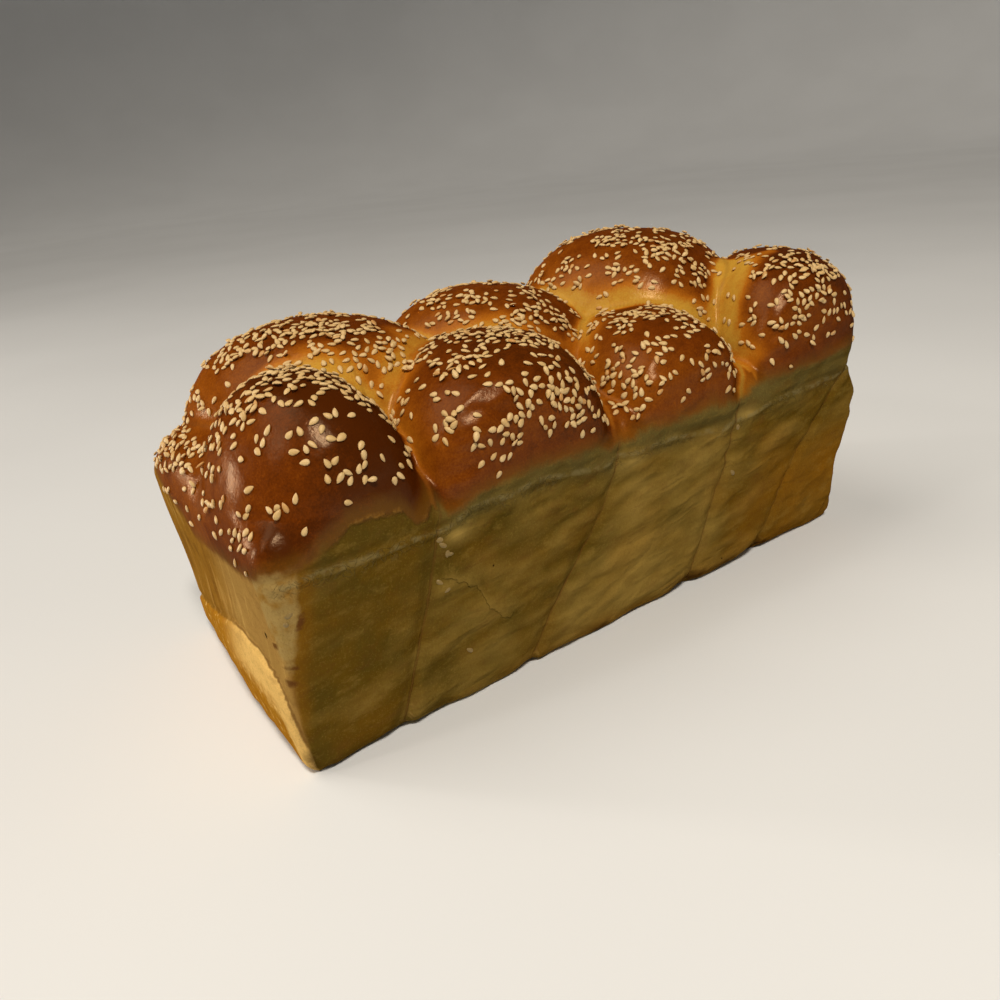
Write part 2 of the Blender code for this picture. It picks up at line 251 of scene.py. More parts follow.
@dataclass(frozen=True)
class LoafForm:
    """The loaf's form, as a signed field that is negative inside and zero on the crust.

    It is a tapered tin-shaped body with the plait's seams pressed into its walls, and above the
    tin's rim the smooth union of the strands' crowns.
    """

    tin: Tin = Tin()
    crowns: tuple[Crown, ...] = (
        Crown("front_1", -0.0905, -0.020, 0.043, 0.0285, 0.103, 0.063, 6, 1.06, 70, 0.001, power=2.05),
        Crown(
            "front_2", -0.0292, -0.022, 0.046, 0.0345, 0.101, 0.061, 26, 0.91, 186, 0.0045, 0.95, 0.002, 0.44
        ),
        Crown("front_3", 0.036, -0.022, 0.042, 0.0282, 0.096, 0.061, 20, 0.82, 146, 0.0062),
        Crown("front_4", 0.099, -0.026, 0.042, 0.027, 0.108, 0.061, 33, 0.95, 203, 0.0108, 0.38),
        Crown("front_4", 0.101, -0.029, 0.031, 0.024, 0.105, 0.061, 0, 0.95, 203, 0.0108, 0.38),
        Crown("back_1", -0.065, 0.024, 0.046, 0.040, 0.107, 0.061, -36, 0.86, 285, 0.0085),
        Crown("back_2", 0.0012, 0.0262, 0.0432, 0.0358, 0.106, 0.061, -30, 0.80, 240, 0.005),
        Crown("back_3", 0.069, 0.022, 0.047, 0.043, 0.117, 0.063, -24, 0.83, 230, 0.0082, 0.65),
        Crown("near_tail", -0.101, 0.020, 0.038, 0.024, 0.083, 0.053, -8, 0.72, 30, 0.004, power=2.2),
        Crown("far_tail", 0.101, 0.024, 0.030, 0.022, 0.092, 0.058, 6, 0.70, 200, 0.005),
        Crown("front_3", 0.004, -0.032, 0.020, 0.012, 0.075, 0.058, 14, 0.66),
        Crown("front_4", 0.058, -0.033, 0.020, 0.016, 0.072, 0.058, 24, 0.24),
        Crown("back_3", 0.0845, -0.004, 0.034, 0.0225, 0.1035, 0.058, -34, 0.60, 292, 0.0150),
        Crown("stretched", 0.000, 0.000, 0.046, 0.112, 0.082, 0.053, 0, 0.10),
    )
    seams: tuple[Seam, ...] = (
        Seam(Side.FRONT, -0.067, -0.087, 0.35, 0.0010),
        Seam(Side.FRONT, -0.005, -0.041, 0.20, 0.0060, 0.0470),
        Seam(Side.FRONT, 0.052, 0.031, 0.10, 0.0020, 0.0450),
        Seam(Side.FRONT, 0.114, 0.067, 0.60, -0.0050, 0.0350),
        Seam(Side.BACK, -0.098, -0.076, 0.80, 0.0030),
        Seam(Side.BACK, -0.036, -0.010, 0.30, -0.0040),
        Seam(Side.BACK, 0.030, 0.054, 0.40, 0.0030),
        Seam(Side.BACK, 0.084, 0.100, 0.40, -0.0030),
    )
    body_top: float = 0.0750
    body_top_radius: float = 0.0120
    crease_radius: float = 0.0030
    shoulder_radius: float = 0.0080
    rim_radius: float = 0.0015
    crown_start_below_rim: float = 0.0020
    overhang: float = 0.0010
    far_end_overhang: float = 0.0030
    overhang_rise: float = 0.0100
    overhang_at_rim: float = 0.0006
    air_corner_radius: float = 0.0090
    air_corner_growth: float = 0.0080
    near_corner_growth: float = 0.0120
    end_start: float = 0.0800
    end_reach: float = 0.0300
    back_spread: float = 0.0500
    near_lean: float = 11.0
    lean_start: float = 0.0600
    lean_reach: float = 0.0500
    lean_behind: float = 0.0150
    lean_fade: float = 0.0300
    lean_above_rim: float = 0.0010
    seam_groove: float = 0.0014
    seam_half_width: float = 0.0030
    seam_sharp_side: float = 0.0022
    seam_from_middle: float = 0.0300
    seam_fade: float = 0.0100
    foot_notch_depth: float = 0.0028
    foot_notch_reach: float = 0.0035
    foot_height: float = 0.0160
    near_foot_bulge: float = 0.0030
    near_foot_height: float = 0.0170
    near_foot_spread: float = 0.0180
    near_foot_middle: float = -0.0080
    near_foot_breadth: float = 0.0440
    near_rim_bulge: float = 0.0025
    near_rim_height: float = 0.0620
    near_rim_spread: float = 0.0260
    far_rim_bulge: float = 0.0075
    far_bulge_height: float = 0.0520
    far_bulge_above: float = 0.0090
    far_bulge_below: float = 0.0200
    core: tuple[float, float] = (0.0880, 0.0260)
    core_height: float = 0.0450
    shortest_ray: float = 0.0050
    longest_ray: float = 0.2300
    halvings: int = 24

    def seam_depth(self, points: Array) -> Array:
        """How far the long walls are pressed in: each seam is a bell-shaped groove, wider on the
        side of the strand that rounds up off the tin's floor at its foot.

        Args:
            points: one row of three numbers for each point.

        Returns:
            A distance in metres for each point.
        """
        y, z = points[:, 1], points[:, 2]
        depth = np.zeros(len(points))
        foot = np.clip(1.0 - z / self.foot_height, 0.0, 1.0) ** 2
        for seam in self.seams:
            side = seam.side.value
            on_wall = np.clip((side * y - self.seam_from_middle) / self.seam_fade, 0.0, 1.0)
            past = seam.past(points, self.tin.depth)
            wide = self.seam_half_width + self.foot_notch_reach * foot
            half_width = np.where(past * side > 0.0, wide, self.seam_sharp_side)
            deepest = self.seam_groove + self.foot_notch_depth * seam.openness * foot
            depth += on_wall * deepest * bell(past, 0.0, half_width)
        return depth

    def end_bulge(self, points: Array) -> Array:
        """How far the end walls swell past the tin's plan, as bells over their height: the near
        end at its foot and at its rim towards the back, the far end under its rim.

        Args:
            points: one row of three numbers for each point.

        Returns:
            A distance in metres for each point.
        """
        x, y, z = points.T
        foot = bell(z, self.near_foot_height, self.near_foot_spread)
        foot = foot * bell(y, self.near_foot_middle, self.near_foot_breadth)
        rim = bell(z, self.near_rim_height, self.near_rim_spread)
        rim = rim * np.clip(0.5 + y / self.back_spread, 0.0, 1.0)
        near = self.near_foot_bulge * foot + self.near_rim_bulge * rim
        spread = np.where(z > self.far_bulge_height, self.far_bulge_above, self.far_bulge_below)
        far = self.far_rim_bulge * bell(z, self.far_bulge_height, spread)
        return np.where(x < 0.0, near, far)

    def body(self, points: Array) -> Array:
        """The tin-shaped body: negative inside, zero on its wall.

        Args:
            points: one row of three numbers for each point.

        Returns:
            About the distance to its wall, negative inside.
        """
        up = np.clip(points[:, 2] / self.tin.depth, 0.0, 1.0)
        radius = self.tin.corner_at_base + (self.tin.corner_at_rim - self.tin.corner_at_base) * up
        past_ends, past_sides = self.tin.past_walls(points, 0.0)
        past_ends = past_ends - self.end_bulge(points)
        past_sides = past_sides + self.seam_depth(points)
        wall = rounded_overlap(past_ends, past_sides, radius)
        standing = rounded_overlap(wall, -points[:, 2], self.tin.base_edge)
        return rounded_overlap(standing, points[:, 2] - self.body_top, self.body_top_radius)

    def air(self, points: Array) -> Array:
        """The air that the dough could rise into: up from the tin, a little past its rim.

        Args:
            points: one row of three numbers for each point.

        Returns:
            About the distance outside it, negative inside.
        """
        x, y, z = points.T
        rise = np.clip((z - self.tin.depth) / self.overhang_rise, 0.0, 1.0)
        far = np.clip((x - self.end_start) / self.end_reach, 0.0, 1.0)
        near_back = np.clip((-x - self.end_start) / self.end_reach, 0.0, 1.0)
        near_back = near_back * np.clip(0.5 + y / self.back_spread, 0.0, 1.0)
        grow = self.overhang_at_rim + self.overhang * rise + self.far_end_overhang * rise * far
        grow = grow + self.near_rim_bulge * near_back
        near = np.clip((-x - self.lean_start) / self.lean_reach, 0.0, 1.0)
        near = near * np.clip((self.lean_behind - y) / self.lean_fade, 0.0, 1.0)
        above_rim = np.maximum(z - self.tin.depth - self.lean_above_rim, 0.0)
        grow = grow - self.near_lean * near * above_rim**2
        past_ends, past_sides = self.tin.past_walls(points, grow)
        growth = self.air_corner_growth + self.near_corner_growth * near
        radius = self.air_corner_radius + growth * rise
        return rounded_overlap(past_ends, past_sides, radius)

    def field(self, points: Array) -> Array:
        """The whole loaf: the crowns kept within the air above the rim, joined to the body.

        Args:
            points: one row of three numbers for each point.

        Returns:
            About the distance to the crust, negative inside.
        """
        crowns = self.crowns[0].field(points)
        for crown in self.crowns[1:]:
            crowns = smooth_lower(crowns, crown.field(points), self.crease_radius)
        crowns = smooth_higher(crowns, self.air(points), self.shoulder_radius)
        above_rim = self.tin.depth - self.crown_start_below_rim - points[:, 2]
        crowns = smooth_higher(crowns, above_rim, 2 * self.rim_radius)
        return smooth_lower(crowns, self.body(points), self.rim_radius)

    def slope(self, points: Array, here: Array) -> Array:
        """The field's gradient, from a short step along each axis.

        Args:
            points: where it is wanted.
            here: the field at those points.

        Returns:
            One row of three slopes for each point.
        """
        step = 2e-4
        steps = [self.field(points + step * axis) - here for axis in np.eye(3)]
        return np.stack(steps, axis=1) / step

    def outward(self, points: Array) -> Array:
        """The crust's normal at each of its points: the field's gradient, made one long."""
        slope = self.slope(points, self.field(points))
        return slope / np.linalg.norm(slope, axis=1, keepdims=True)

    def onto_crust(self, box_points: Array) -> Array:
        """Slides each point of a box along its ray, out from the loaf's flat core, onto the crust.

        A ray starts at the core's nearest point, so it is upright over the core and fans out
        round its edges. The crossing is found by halving the interval that it lies in.

        Args:
            box_points: the box's points.

        Returns:
            The points on the crust.
        """
        core = (*self.core, 0.0)
        start = np.clip(box_points, np.negative(core), core)
        start[:, 2] = self.core_height
        way = box_points - start
        way /= np.linalg.norm(way, axis=1, keepdims=True)
        near = np.full(len(box_points), self.shortest_ray)
        far = np.full(len(box_points), self.longest_ray)
        for _ in range(self.halvings):
            middle = (near + far) / 2
            inside = self.field(start + way * middle[:, None]) < 0.0
            near = np.where(inside, middle, near)
            far = np.where(inside, far, middle)
        return start + way * ((near + far) / 2)[:, None]


@dataclass(frozen=True)
class BoxGrid:
    """A box cut into cells, as one closed skin whose points are shared along its edges.

    Two parameters run over it: one round the box's plan, the other up from the middle of its
    base, over the base's edge and up the walls. The top is a grid of its own.
    """

    length: float
    width: float
    height: float = 0.1030
    step: float = 0.0010
    base_shares: tuple[float, ...] = (0.25, 0.50, 0.72, 0.86, 0.93, 0.965, 0.985)
    wall_heights: tuple[float, ...] = (0.0, 0.006, 0.016, 0.050, 0.056, 0.068, 0.075, 0.1030)
    wall_steps: tuple[float, ...] = (0.0007, 0.0008, 0.0014, 0.0012, 0.0007, 0.0008, 0.0011, 0.0011)

    @classmethod
    def over(cls, tin: Tin) -> "BoxGrid":
        """The box over a tin's plan that the crust is made from."""
        return cls(tin.length, tin.width)

    @property
    def cells(self) -> tuple[int, int]:
        """How many cells the top has along X and along Y."""
        return round(self.length / self.step), round(self.width / self.step)

    def outline(self) -> Array:
        """The plan's outline, anticlockwise from its near front corner, as shares from -1 to 1."""
        across, deep = self.cells
        x = np.linspace(-1.0, 1.0, across + 1)
        y = np.linspace(-1.0, 1.0, deep + 1)
        sides = (
            np.stack((x[:-1], np.full(across, -1.0)), axis=1),
            np.stack((np.full(deep, 1.0), y[:-1]), axis=1),
            np.stack((x[:0:-1], np.full(across, 1.0)), axis=1),
            np.stack((np.full(deep, -1.0), y[:0:-1]), axis=1),
        )
        return np.concatenate(sides)

    def wall_rows(self) -> Array:
        """Heights up the wall, as far apart as wall_steps gives at wall_heights."""
        fine = np.linspace(0.0, self.height, 2000)
        crowding = 1.0 / np.interp(fine, self.wall_heights, self.wall_steps)
        count = np.concatenate(([0.0], np.cumsum((crowding[1:] + crowding[:-1]) / 2)))
        count *= fine[1]
        wanted = np.linspace(0.0, count[-1], round(count[-1]) + 1)
        return np.interp(wanted, count, fine)

    def points(self) -> Array:
        """The rings from the base's middle to the top's edge, then the top's inner points."""
        outline = self.outline() * (self.length / 2, self.width / 2)
        rings = [np.column_stack((outline * share, np.zeros(len(outline)))) for share in self.base_shares]
        rings += [np.column_stack((outline, np.full(len(outline), z))) for z in self.wall_rows()]
        across, deep = self.cells
        x = np.linspace(-self.length / 2, self.length / 2, across + 1)[1:-1]
        y = np.linspace(-self.width / 2, self.width / 2, deep + 1)[1:-1]
        inner_x, inner_y = np.meshgrid(x, y, indexing="ij")
        top = np.stack((inner_x, inner_y, np.full(inner_x.shape, self.height)), axis=-1)
        return np.concatenate([*rings, top.reshape(-1, 3)])

    def quads(self) -> Array:
        """Four point numbers for each cell, anticlockwise seen from outside."""
        across, deep = self.cells
        around = 2 * (across + deep)
        rings = len(self.base_shares) + len(self.wall_rows())
        low = np.arange((rings - 1) * around).reshape(-1, around)
        right = np.roll(low, -1, axis=1)
        walls = np.stack((low, right, right + around, low + around), axis=-1).reshape(-1, 4)

        last = (rings - 1) * around
        top = np.empty((across + 1, deep + 1), dtype=np.int64)
        top[1:-1, 1:-1] = rings * around + np.arange((across - 1) * (deep - 1)).reshape(-1, deep - 1)
        top[:-1, 0] = last + np.arange(across)
        top[-1, :-1] = last + across + np.arange(deep)
        top[:0:-1, -1] = last + across + deep + np.arange(across)
        top[0, :0:-1] = last + 2 * across + deep + np.arange(deep)
        caps = np.stack((top[:-1, :-1], top[1:, :-1], top[1:, 1:], top[:-1, 1:]), axis=-1)
        return np.concatenate((walls, caps.reshape(-1, 4)))

    def base(self) -> Array:
        """The point numbers round the base's innermost ring, clockwise seen from above."""
        return np.arange(2 * sum(self.cells))[::-1]


@dataclass(frozen=True)
class Placing:
    """What is known of the crust at each of its points, for the relief and the colours.

    nearest is the number of the crown it belongs to, closeness is how much it belongs to each of
    them, and gap is how much further off the next strand is, zero along a crease. above_border is
    how far the point is above the line where the browned crown ends and the tin-baked wall begins.
    seam_place is where it is among its long wall's seams, which are at the whole numbers, and
    on_long_wall and on_end_wall are how squarely it faces the way that such a wall does.
    """

    points: Array
    outward: Array
    nearest: Array
    closeness: Array
    gap: Array
    above_border: Array
    seam_place: Array
    on_long_wall: Array
    on_end_wall: Array


@dataclass(frozen=True)
class Survey:
    """Works out the crust's Placing: which strand each point belongs to, and where the rim is."""

    form: LoafForm
    blending: float = 0.0022
    front_border: tuple[tuple[float, float], ...] = (
        (-0.118, 0.0620),
        (-0.112, 0.0622),
        (-0.104, 0.0630),
        (-0.099, 0.0670),
        (-0.095, 0.0690),
        (-0.093, 0.0712),
        (-0.085, 0.0706),
        (-0.078, 0.0690),
        (-0.0745, 0.0640),
        (-0.0715, 0.0645),
        (-0.069, 0.0675),
        (-0.067, 0.0655),
        (-0.065, 0.0620),
        (-0.055, 0.0650),
        (-0.035, 0.0671),
        (-0.012, 0.0660),
        (-0.006, 0.0636),
        (0.005, 0.0652),
        (0.036, 0.0667),
        (0.051, 0.0640),
        (0.060, 0.0672),
        (0.090, 0.0696),
        (0.118, 0.0730),
    )
    back_border: tuple[tuple[float, float], ...] = (
        (-0.118, 0.0660),
        (-0.098, 0.0630),
        (-0.066, 0.0680),
        (-0.036, 0.0630),
        (-0.002, 0.0675),
        (0.030, 0.0630),
        (0.058, 0.0680),
        (0.084, 0.0640),
        (0.118, 0.0700),
    )
    near_border: tuple[tuple[float, float], ...] = (
        (-0.052, 0.0625),
        (-0.045, 0.0594),
        (-0.032, 0.0556),
        (-0.011, 0.0536),
        (0.010, 0.0512),
        (0.016, 0.0560),
        (0.034, 0.0630),
        (0.052, 0.0660),
    )

    def seam_place(self, points: Array) -> Array:
        """Where each point is among its long wall's seams, which are at the whole numbers.

        Args:
            points: one row of three numbers for each point.

        Returns:
            The place for each point.
        """
        place = np.empty(len(points))
        for side in Side:
            here = (points[:, 1] >= 0.0) == (side is Side.BACK)
            seams = [seam for seam in self.form.seams if seam.side is side]
            past = np.stack([seam.past(points[here], self.form.tin.depth) for seam in seams])
            number = np.clip((past > 0.0).sum(axis=0) - 1, 0, len(seams) - 2)
            column = np.arange(past.shape[1])
            start, end = past[number, column], past[number + 1, column]
            place[here] = number + start / (start - end)
        return place

    def border(self, points: Array) -> Array:
        """The height of the border between crown and wall, all round the loaf.

        Args:
            points: one row of three numbers for each point.

        Returns:
            A height in metres for each point.
        """
        x, y, _ = points.T
        front = np.interp(x, *np.transpose(self.front_border))
        back = np.interp(x, *np.transpose(self.back_border))
        height = front + (back - front) * eased(y, -0.030, 0.030)
        near = np.interp(y, *np.transpose(self.near_border))
        on_near_end = eased(-x, 0.111, 0.1165)
        return height + (near - height) * on_near_end

    def placing(self, points: Array, outward: Array) -> Placing:
        """The crust's Placing.

        Args:
            points: the crust's points, about the tin's middle.
            outward: the crust's normals there.

        Returns:
            The Placing of each point.
        """
        fields = np.stack([crown.field(points) for crown in self.form.crowns])
        nearest = fields.argmin(axis=0)
        strands = [crown.strand for crown in self.form.crowns]
        number = np.array([strands.index(strand) for strand in strands])
        same = number[:, None] == number[nearest][None, :]
        others = np.where(same, np.inf, fields).min(axis=0)
        closeness = np.exp((fields.min(axis=0) - fields) / self.blending)
        return Placing(
            points=points,
            outward=outward,
            nearest=nearest,
            closeness=(closeness / closeness.sum(axis=0)).T,
            gap=others - fields.min(axis=0),
            above_border=points[:, 2] - self.border(points),
            seam_place=self.seam_place(points),
            on_long_wall=eased(np.abs(outward[:, 1]), 0.5, 0.8),
            on_end_wall=eased(np.abs(outward[:, 0]), 0.5, 0.8),
        )


@dataclass(frozen=True)
class Relief:
    """The small shape that the field leaves out, as a height to move each point outward by."""

    form: LoafForm
    noise: Noise
    wrinkle_angle: float = 8.0
    wrinkle_size: tuple[float, float] = (0.0260, 0.0062)
    wrinkle: float = 0.00060
    fold_size: tuple[float, float] = (0.0300, 0.0085)
    fold: float = 0.00045
    crumple_size: tuple[float, float] = (0.0100, 0.0050)
    crumple: float = 0.00045
    smooth_panel_share: float = 0.45
    pucker_height: float = 0.0605
    pucker_reach: float = 0.0040
    pucker_size: tuple[float, float] = (0.0030, 0.0050)
    pucker: float = 0.00030
    ledge_below: float = 0.0042
    ledge_line: tuple[tuple[float, float], ...] = (
        (-0.118, 0.0605),
        (-0.088, 0.0612),
        (-0.068, 0.0590),
        (-0.058, 0.0625),
        (-0.035, 0.0635),
        (-0.008, 0.0610),
        (0.020, 0.0610),
        (0.045, 0.0585),
        (0.070, 0.0605),
        (0.118, 0.0630),
    )
    ledge: float = 0.00045
    swell_size: float = 0.0200
    swell: float = 0.00050
    dimple_size: float = 0.0050
    dimple: float = 0.00010
    edge_size: float = 0.0130
    edge_bite: float = 0.0028
    edge_reach: float = 0.0065
    step_height: float = 0.0330
    step_start: float = 0.0280
    step_reach: float = 0.0215
    step_fall: float = 0.30
    step: float = 0.0007
    end_drag_size: tuple[float, float] = (0.0065, 0.0240)
    end_drag: float = 0.00030

    def slanted(self, placing: Placing, size: tuple[float, float], shift: float) -> Array:
        """Noise drawn out along the wrinkles' slope, which climbs towards +X on the front wall
        and towards -X on the back one.

        Args:
            placing: where the crust's points are.
            size: a lattice cell's length and breadth.
            shift: moves the pattern, so that two of one size differ.

        Returns:
            About -1 to 1 for each point.
        """
        x, y, z = placing.points.T
        angle = math.radians(self.wrinkle_angle)
        x = np.where(y < 0.0, x, -x) + shift
        bent = z + 0.004 * self.noise.at(placing.points + shift, 0.024)
        along = x * math.cos(angle) + bent * math.sin(angle)
        across = bent * math.cos(angle) - x * math.sin(angle)
        return self.noise.at(np.column_stack((along / size[0], across / size[1], y / 0.05)), 1.0)

    def wall(self, placing: Placing) -> Array:
        """Long walls: soft slanted wrinkles with sharper folds, calm on the first front panel.

        Args:
            placing: the crust's points.

        Returns:
            A height in metres for each point.
        """
        seam = self.form.seams[0]
        past_first = seam.past(placing.points, self.form.tin.depth)
        front = placing.points[:, 1] < 0.0
        calm = np.where(front, eased(past_first, 0.0, 0.004), 1.0)
        share = self.smooth_panel_share + (1.0 - self.smooth_panel_share) * calm
        soft = self.slanted(placing, self.wrinkle_size, 0.31)
        sharp = (1.0 - np.abs(self.slanted(placing, self.fold_size, 0.77))) ** 4
        small = self.slanted(placing, self.crumple_size, 0.52)
        total = self.wrinkle * soft - self.fold * sharp + self.crumple * small
        return placing.on_long_wall * share * total

    def puckers(self, placing: Placing) -> Array:
        """Fine upright ripples just under the rim, where the dough crept up the tin.

        Args:
            placing: the crust's points.

        Returns:
            A height in metres for each point.
        """
        x, y, z = placing.points.T
        height = self.pucker_height + 0.0015 * self.noise.at(placing.points, 0.016)
        band = bell(z, height, self.pucker_reach)
        patchy = eased(self.noise.at(placing.points + 0.5, 0.018), -0.35, 0.25)
        leaning = np.column_stack((x - 0.4 * z, y, z))
        size = (self.pucker_size[0], 0.05, self.pucker_size[1])
        ripples = 1.0 - 2.0 * np.abs(self.noise.at(leaning, size))
        uneven = self.above_ledge(placing)
        ledge = self.ledge * (bell(uneven, 0.0, 0.0009) - 0.7 * bell(uneven, 0.0020, 0.0012))
        return (self.pucker * band * patchy * ripples + ledge) * placing.on_long_wall

    def above_ledge(self, placing: Placing) -> Array:
        """How far each point is above the ledge that the tin's rim left in the long walls.

        Args:
            placing: the crust's points.

        Returns:
            A distance in metres for each point.
        """
        x, y, z = placing.points.T
        line = np.interp(x, *np.transpose(self.ledge_line))
        line = np.where(y < 0.0, line, z - placing.above_border - self.ledge_below)
        return z - line + 0.0014 * self.noise.at(placing.points + 0.8, 0.014)

    def crowns(self, placing: Placing) -> Array:
        """Crowns: a slow swell and faint dimples, fading out on the walls.

        Args:
            placing: the crust's points.

        Returns:
            A height in metres for each point.
        """
        share = eased(placing.above_border, -0.004, 0.008)
        slow = self.noise.at(placing.points + 0.9, self.swell_size)
        quick = self.noise.at(placing.points + 0.2, self.dimple_size)
        return share * (self.swell * slow + self.dimple * quick)

    def base_edge(self, placing: Placing) -> Array:
        """The foot of the walls: scalloped, where the dough didn't fill the tin's corner.

        Args:
            placing: the crust's points.

        Returns:
            A height in metres for each point.
        """
        low = np.clip(1.0 - placing.points[:, 2] / self.edge_reach, 0.0, 1.0)
        uneven = self.noise.at(placing.points, (self.edge_size, self.edge_size, 1.0))
        standing = eased(np.hypot(placing.outward[:, 0], placing.outward[:, 1]), 0.2, 0.6)
        return -self.edge_bite * low * standing * np.clip(0.35 + uneven, 0.0, 1.0)

    @classmethod
    def near_step_line(cls, y: Array) -> Array:
        """The height of the fold across the near end: falling slowly towards the back, and
        curving down by the front corner as the root of one minus the fourth power of the way."""
        share = np.clip((-cls.step_start - y) / cls.step_reach, 0.0, 1.0)
        return (cls.step_height - cls.step_fall * np.maximum(y + 0.012, 0.0)) * np.sqrt(1.0 - share**4)

    @classmethod
    def below_near_step(cls, placing: Placing) -> Array:
        """How far each point is below that line, measured square to it.

        Args:
            placing: the crust's points.

        Returns:
            A distance in metres for each point.
        """
        _, y, z = placing.points.T
        line = cls.near_step_line(y)
        slope = np.clip((cls.near_step_line(y + 0.0002) - line) / 0.0002, -8.0, 8.0)
        return (line - z) / np.hypot(1.0, slope)

    def end_walls(self, placing: Placing) -> Array:
        """End walls: upright drag marks, and on the near one the foot that bulges from a fold.

        Args:
            placing: the crust's points.

        Returns:
            A height in metres for each point.
        """
        x = placing.points[:, 0]
        size = (0.05, *self.end_drag_size)
        drag = self.end_drag * self.noise.at(placing.points + 0.7, size)
        below = self.below_near_step(placing)
        shelf = eased(below, -0.0006, 0.0006) - 0.8 * bell(below, -0.0008, 0.0009)
        near = np.where(x < 0.0, self.step * shelf, 0.0)
        return placing.on_end_wall * (drag + near) * (1.0 - eased(placing.above_border, -0.004, 0.0))

    def height(self, placing: Placing) -> Array:
        """All the relief together, and none on the base.

        Args:
            placing: the crust's points.

        Returns:
            A height in metres for each point.
        """
        total = self.wall(placing) + self.puckers(placing) + self.crowns(placing)
        total += self.base_edge(placing) + self.end_walls(placing)
        return total * eased(placing.outward[:, 2], -0.95, -0.6)


@dataclass(frozen=True)
class Baking:
    """How the oven coloured the crust: a share for each point, or a distance in metres."""

    form: LoafForm
    noise: Noise
    pale_panels: tuple[tuple[float, float], ...] = (
        (-0.50, 0.06),
        (-0.05, 0.14),
        (0.05, 0.48),
        (1.00, 0.56),
        (1.20, 1.15),
        (2.00, 0.90),
        (2.20, 0.44),
        (3.50, 0.40),
    )
    least_tuck: float = 0.0010
    flank_rise: float = 0.0220
    flank_floor: float = 1.16
    pale_rise: float = 0.0200
    low_brown: float = 0.62
    low_brown_top: float = 0.0150
    open_valley: float = 0.0560
    closed_valley: float = 0.0060
    flap_line: tuple[tuple[float, float], ...] = (
        (-0.070, 0.0465),
        (-0.061, 0.0396),
        (-0.057, 0.0360),
        (-0.055, 0.0300),
        (-0.048, 0.0225),
    )
    strip_width: float = 0.0105
    strip_foot: float = 0.0150
    butter: tuple[tuple[float, float, float], ...] = (
        (0.0030, 0.0585, 0.0045),
        (0.0560, 0.0605, 0.0040),
        (-0.0630, 0.0570, 0.0030),
    )
    # Crown surfaces that face this way come out browner: darker tops from the oven, and flanks facing +X
    # painted darker as shade while flanks facing -X are painted paler as light.
    heat_and_shade_way: Vector = field(default_factory=lambda: Vector((0.70, -0.05, 0.71)))

    def browned(self, placing: Placing) -> Array:
        """How brown the crowns are: dark on top, paler down the flanks, golden by the creases.
        Flanks that face +X are painted darker and flanks that face -X paler, as painted shade and light.

        Args:
            placing: the crust's points.

        Returns:
            0 where golden and 1 where darkest, for each point.
        """
        crowns = self.form.crowns
        tone = placing.closeness @ np.array([crown.tone for crown in crowns])
        tuck = np.array([crown.tuck for crown in crowns])[placing.nearest]
        fade = np.array([crown.fade for crown in crowns])[placing.nearest]
        facing = np.zeros(len(tone))
        for number, crown in enumerate(crowns):
            facing = np.where(placing.nearest == number, crown.facing_tucked(placing.points), facing)
        patchy = 1.0 + 0.35 * self.noise.at(placing.points, 0.012)
        start = np.array([crown.pale_from for crown in crowns])[placing.nearest]
        wide = self.least_tuck + tuck * facing * eased(placing.above_border, start, start + self.pale_rise)
        gap = placing.gap / (wide * patchy)
        out_of_crease = eased(gap, 1.0 - fade, 1.0 + fade)
        # Painted shade and light: darker towards tops and +X-facing flanks, paler on -X-facing flanks.
        toward_heat_and_shade = placing.outward @ np.array(self.heat_and_shade_way)
        heat_and_painted_shade = 0.72 + 0.32 * eased(toward_heat_and_shade, -0.4, 0.9)
        high = self.flank_floor + (1.0 - self.flank_floor) * eased(
            placing.above_border, 0.0, self.flank_rise
        )
        palest = placing.closeness @ np.array([crown.palest for crown in crowns])
        brown = palest + (tone * heat_and_painted_shade * high - palest) * out_of_crease
        low = self.low_brown * eased(self.low_brown_top - placing.above_border, 0.0, 0.011)
        open_valley = 1.0 - bell(placing.points[:, 0], self.open_valley, 0.0080)
        closed_valley = 0.52 * bell(placing.points[:, 0], self.closed_valley, 0.0120)
        near_end = 0.72 * eased(-placing.points[:, 0], 0.098, 0.108)
        return np.maximum.reduce((brown, low * open_valley, closed_valley, near_end))

    def crease_shade(self, placing: Placing) -> Array:
        """The thin line where two strands meet, painted darker as shade in the crease."""
        above = eased(placing.above_border, -0.002, 0.003)
        return above * bell(placing.gap, 0.0, 0.0009)

    def warm(self, placing: Placing) -> Array:
        """Where the long walls are orange-brown and not olive: the far end, and the very foot.

        Args:
            placing: the crust's points.

        Returns:
            A share from 0 to 1 for each point.
        """
        x, y, z = placing.points.T
        far = 0.75 * eased(x, 0.020, 0.100) * eased(0.060 - z, 0.0, 0.034)
        low = 0.42 * eased(0.009 - z, 0.0, 0.009) * eased(x, -0.080, -0.020)
        patchy = 0.26 * self.noise.at(placing.points, 0.018)
        return np.clip(np.maximum(far, low) + patchy * placing.on_long_wall, 0.0, 1.0)

    def pale(self, placing: Placing) -> Array:
        """How pale the long walls are, panel by panel, and more so low down.

        Args:
            placing: the crust's points.

        Returns:
            A share from 0 to 1 for each point.
        """
        panels, shares = np.transpose(self.pale_panels)
        low = 1.0 - 0.50 * np.clip(placing.points[:, 2] / self.form.tin.depth, 0.0, 1.0)
        patchy = 0.22 * self.noise.at(placing.points + 0.4, 0.022)
        return np.clip(np.interp(placing.seam_place, panels, shares) * low + patchy, 0.0, 1.0)

    def below_fold(self, placing: Placing) -> Array:
        """How far each point is below the near end's fold, in metres, and -20 mm at the far end."""
        return np.where(placing.points[:, 0] < 0.0, Relief.below_near_step(placing), -0.020)

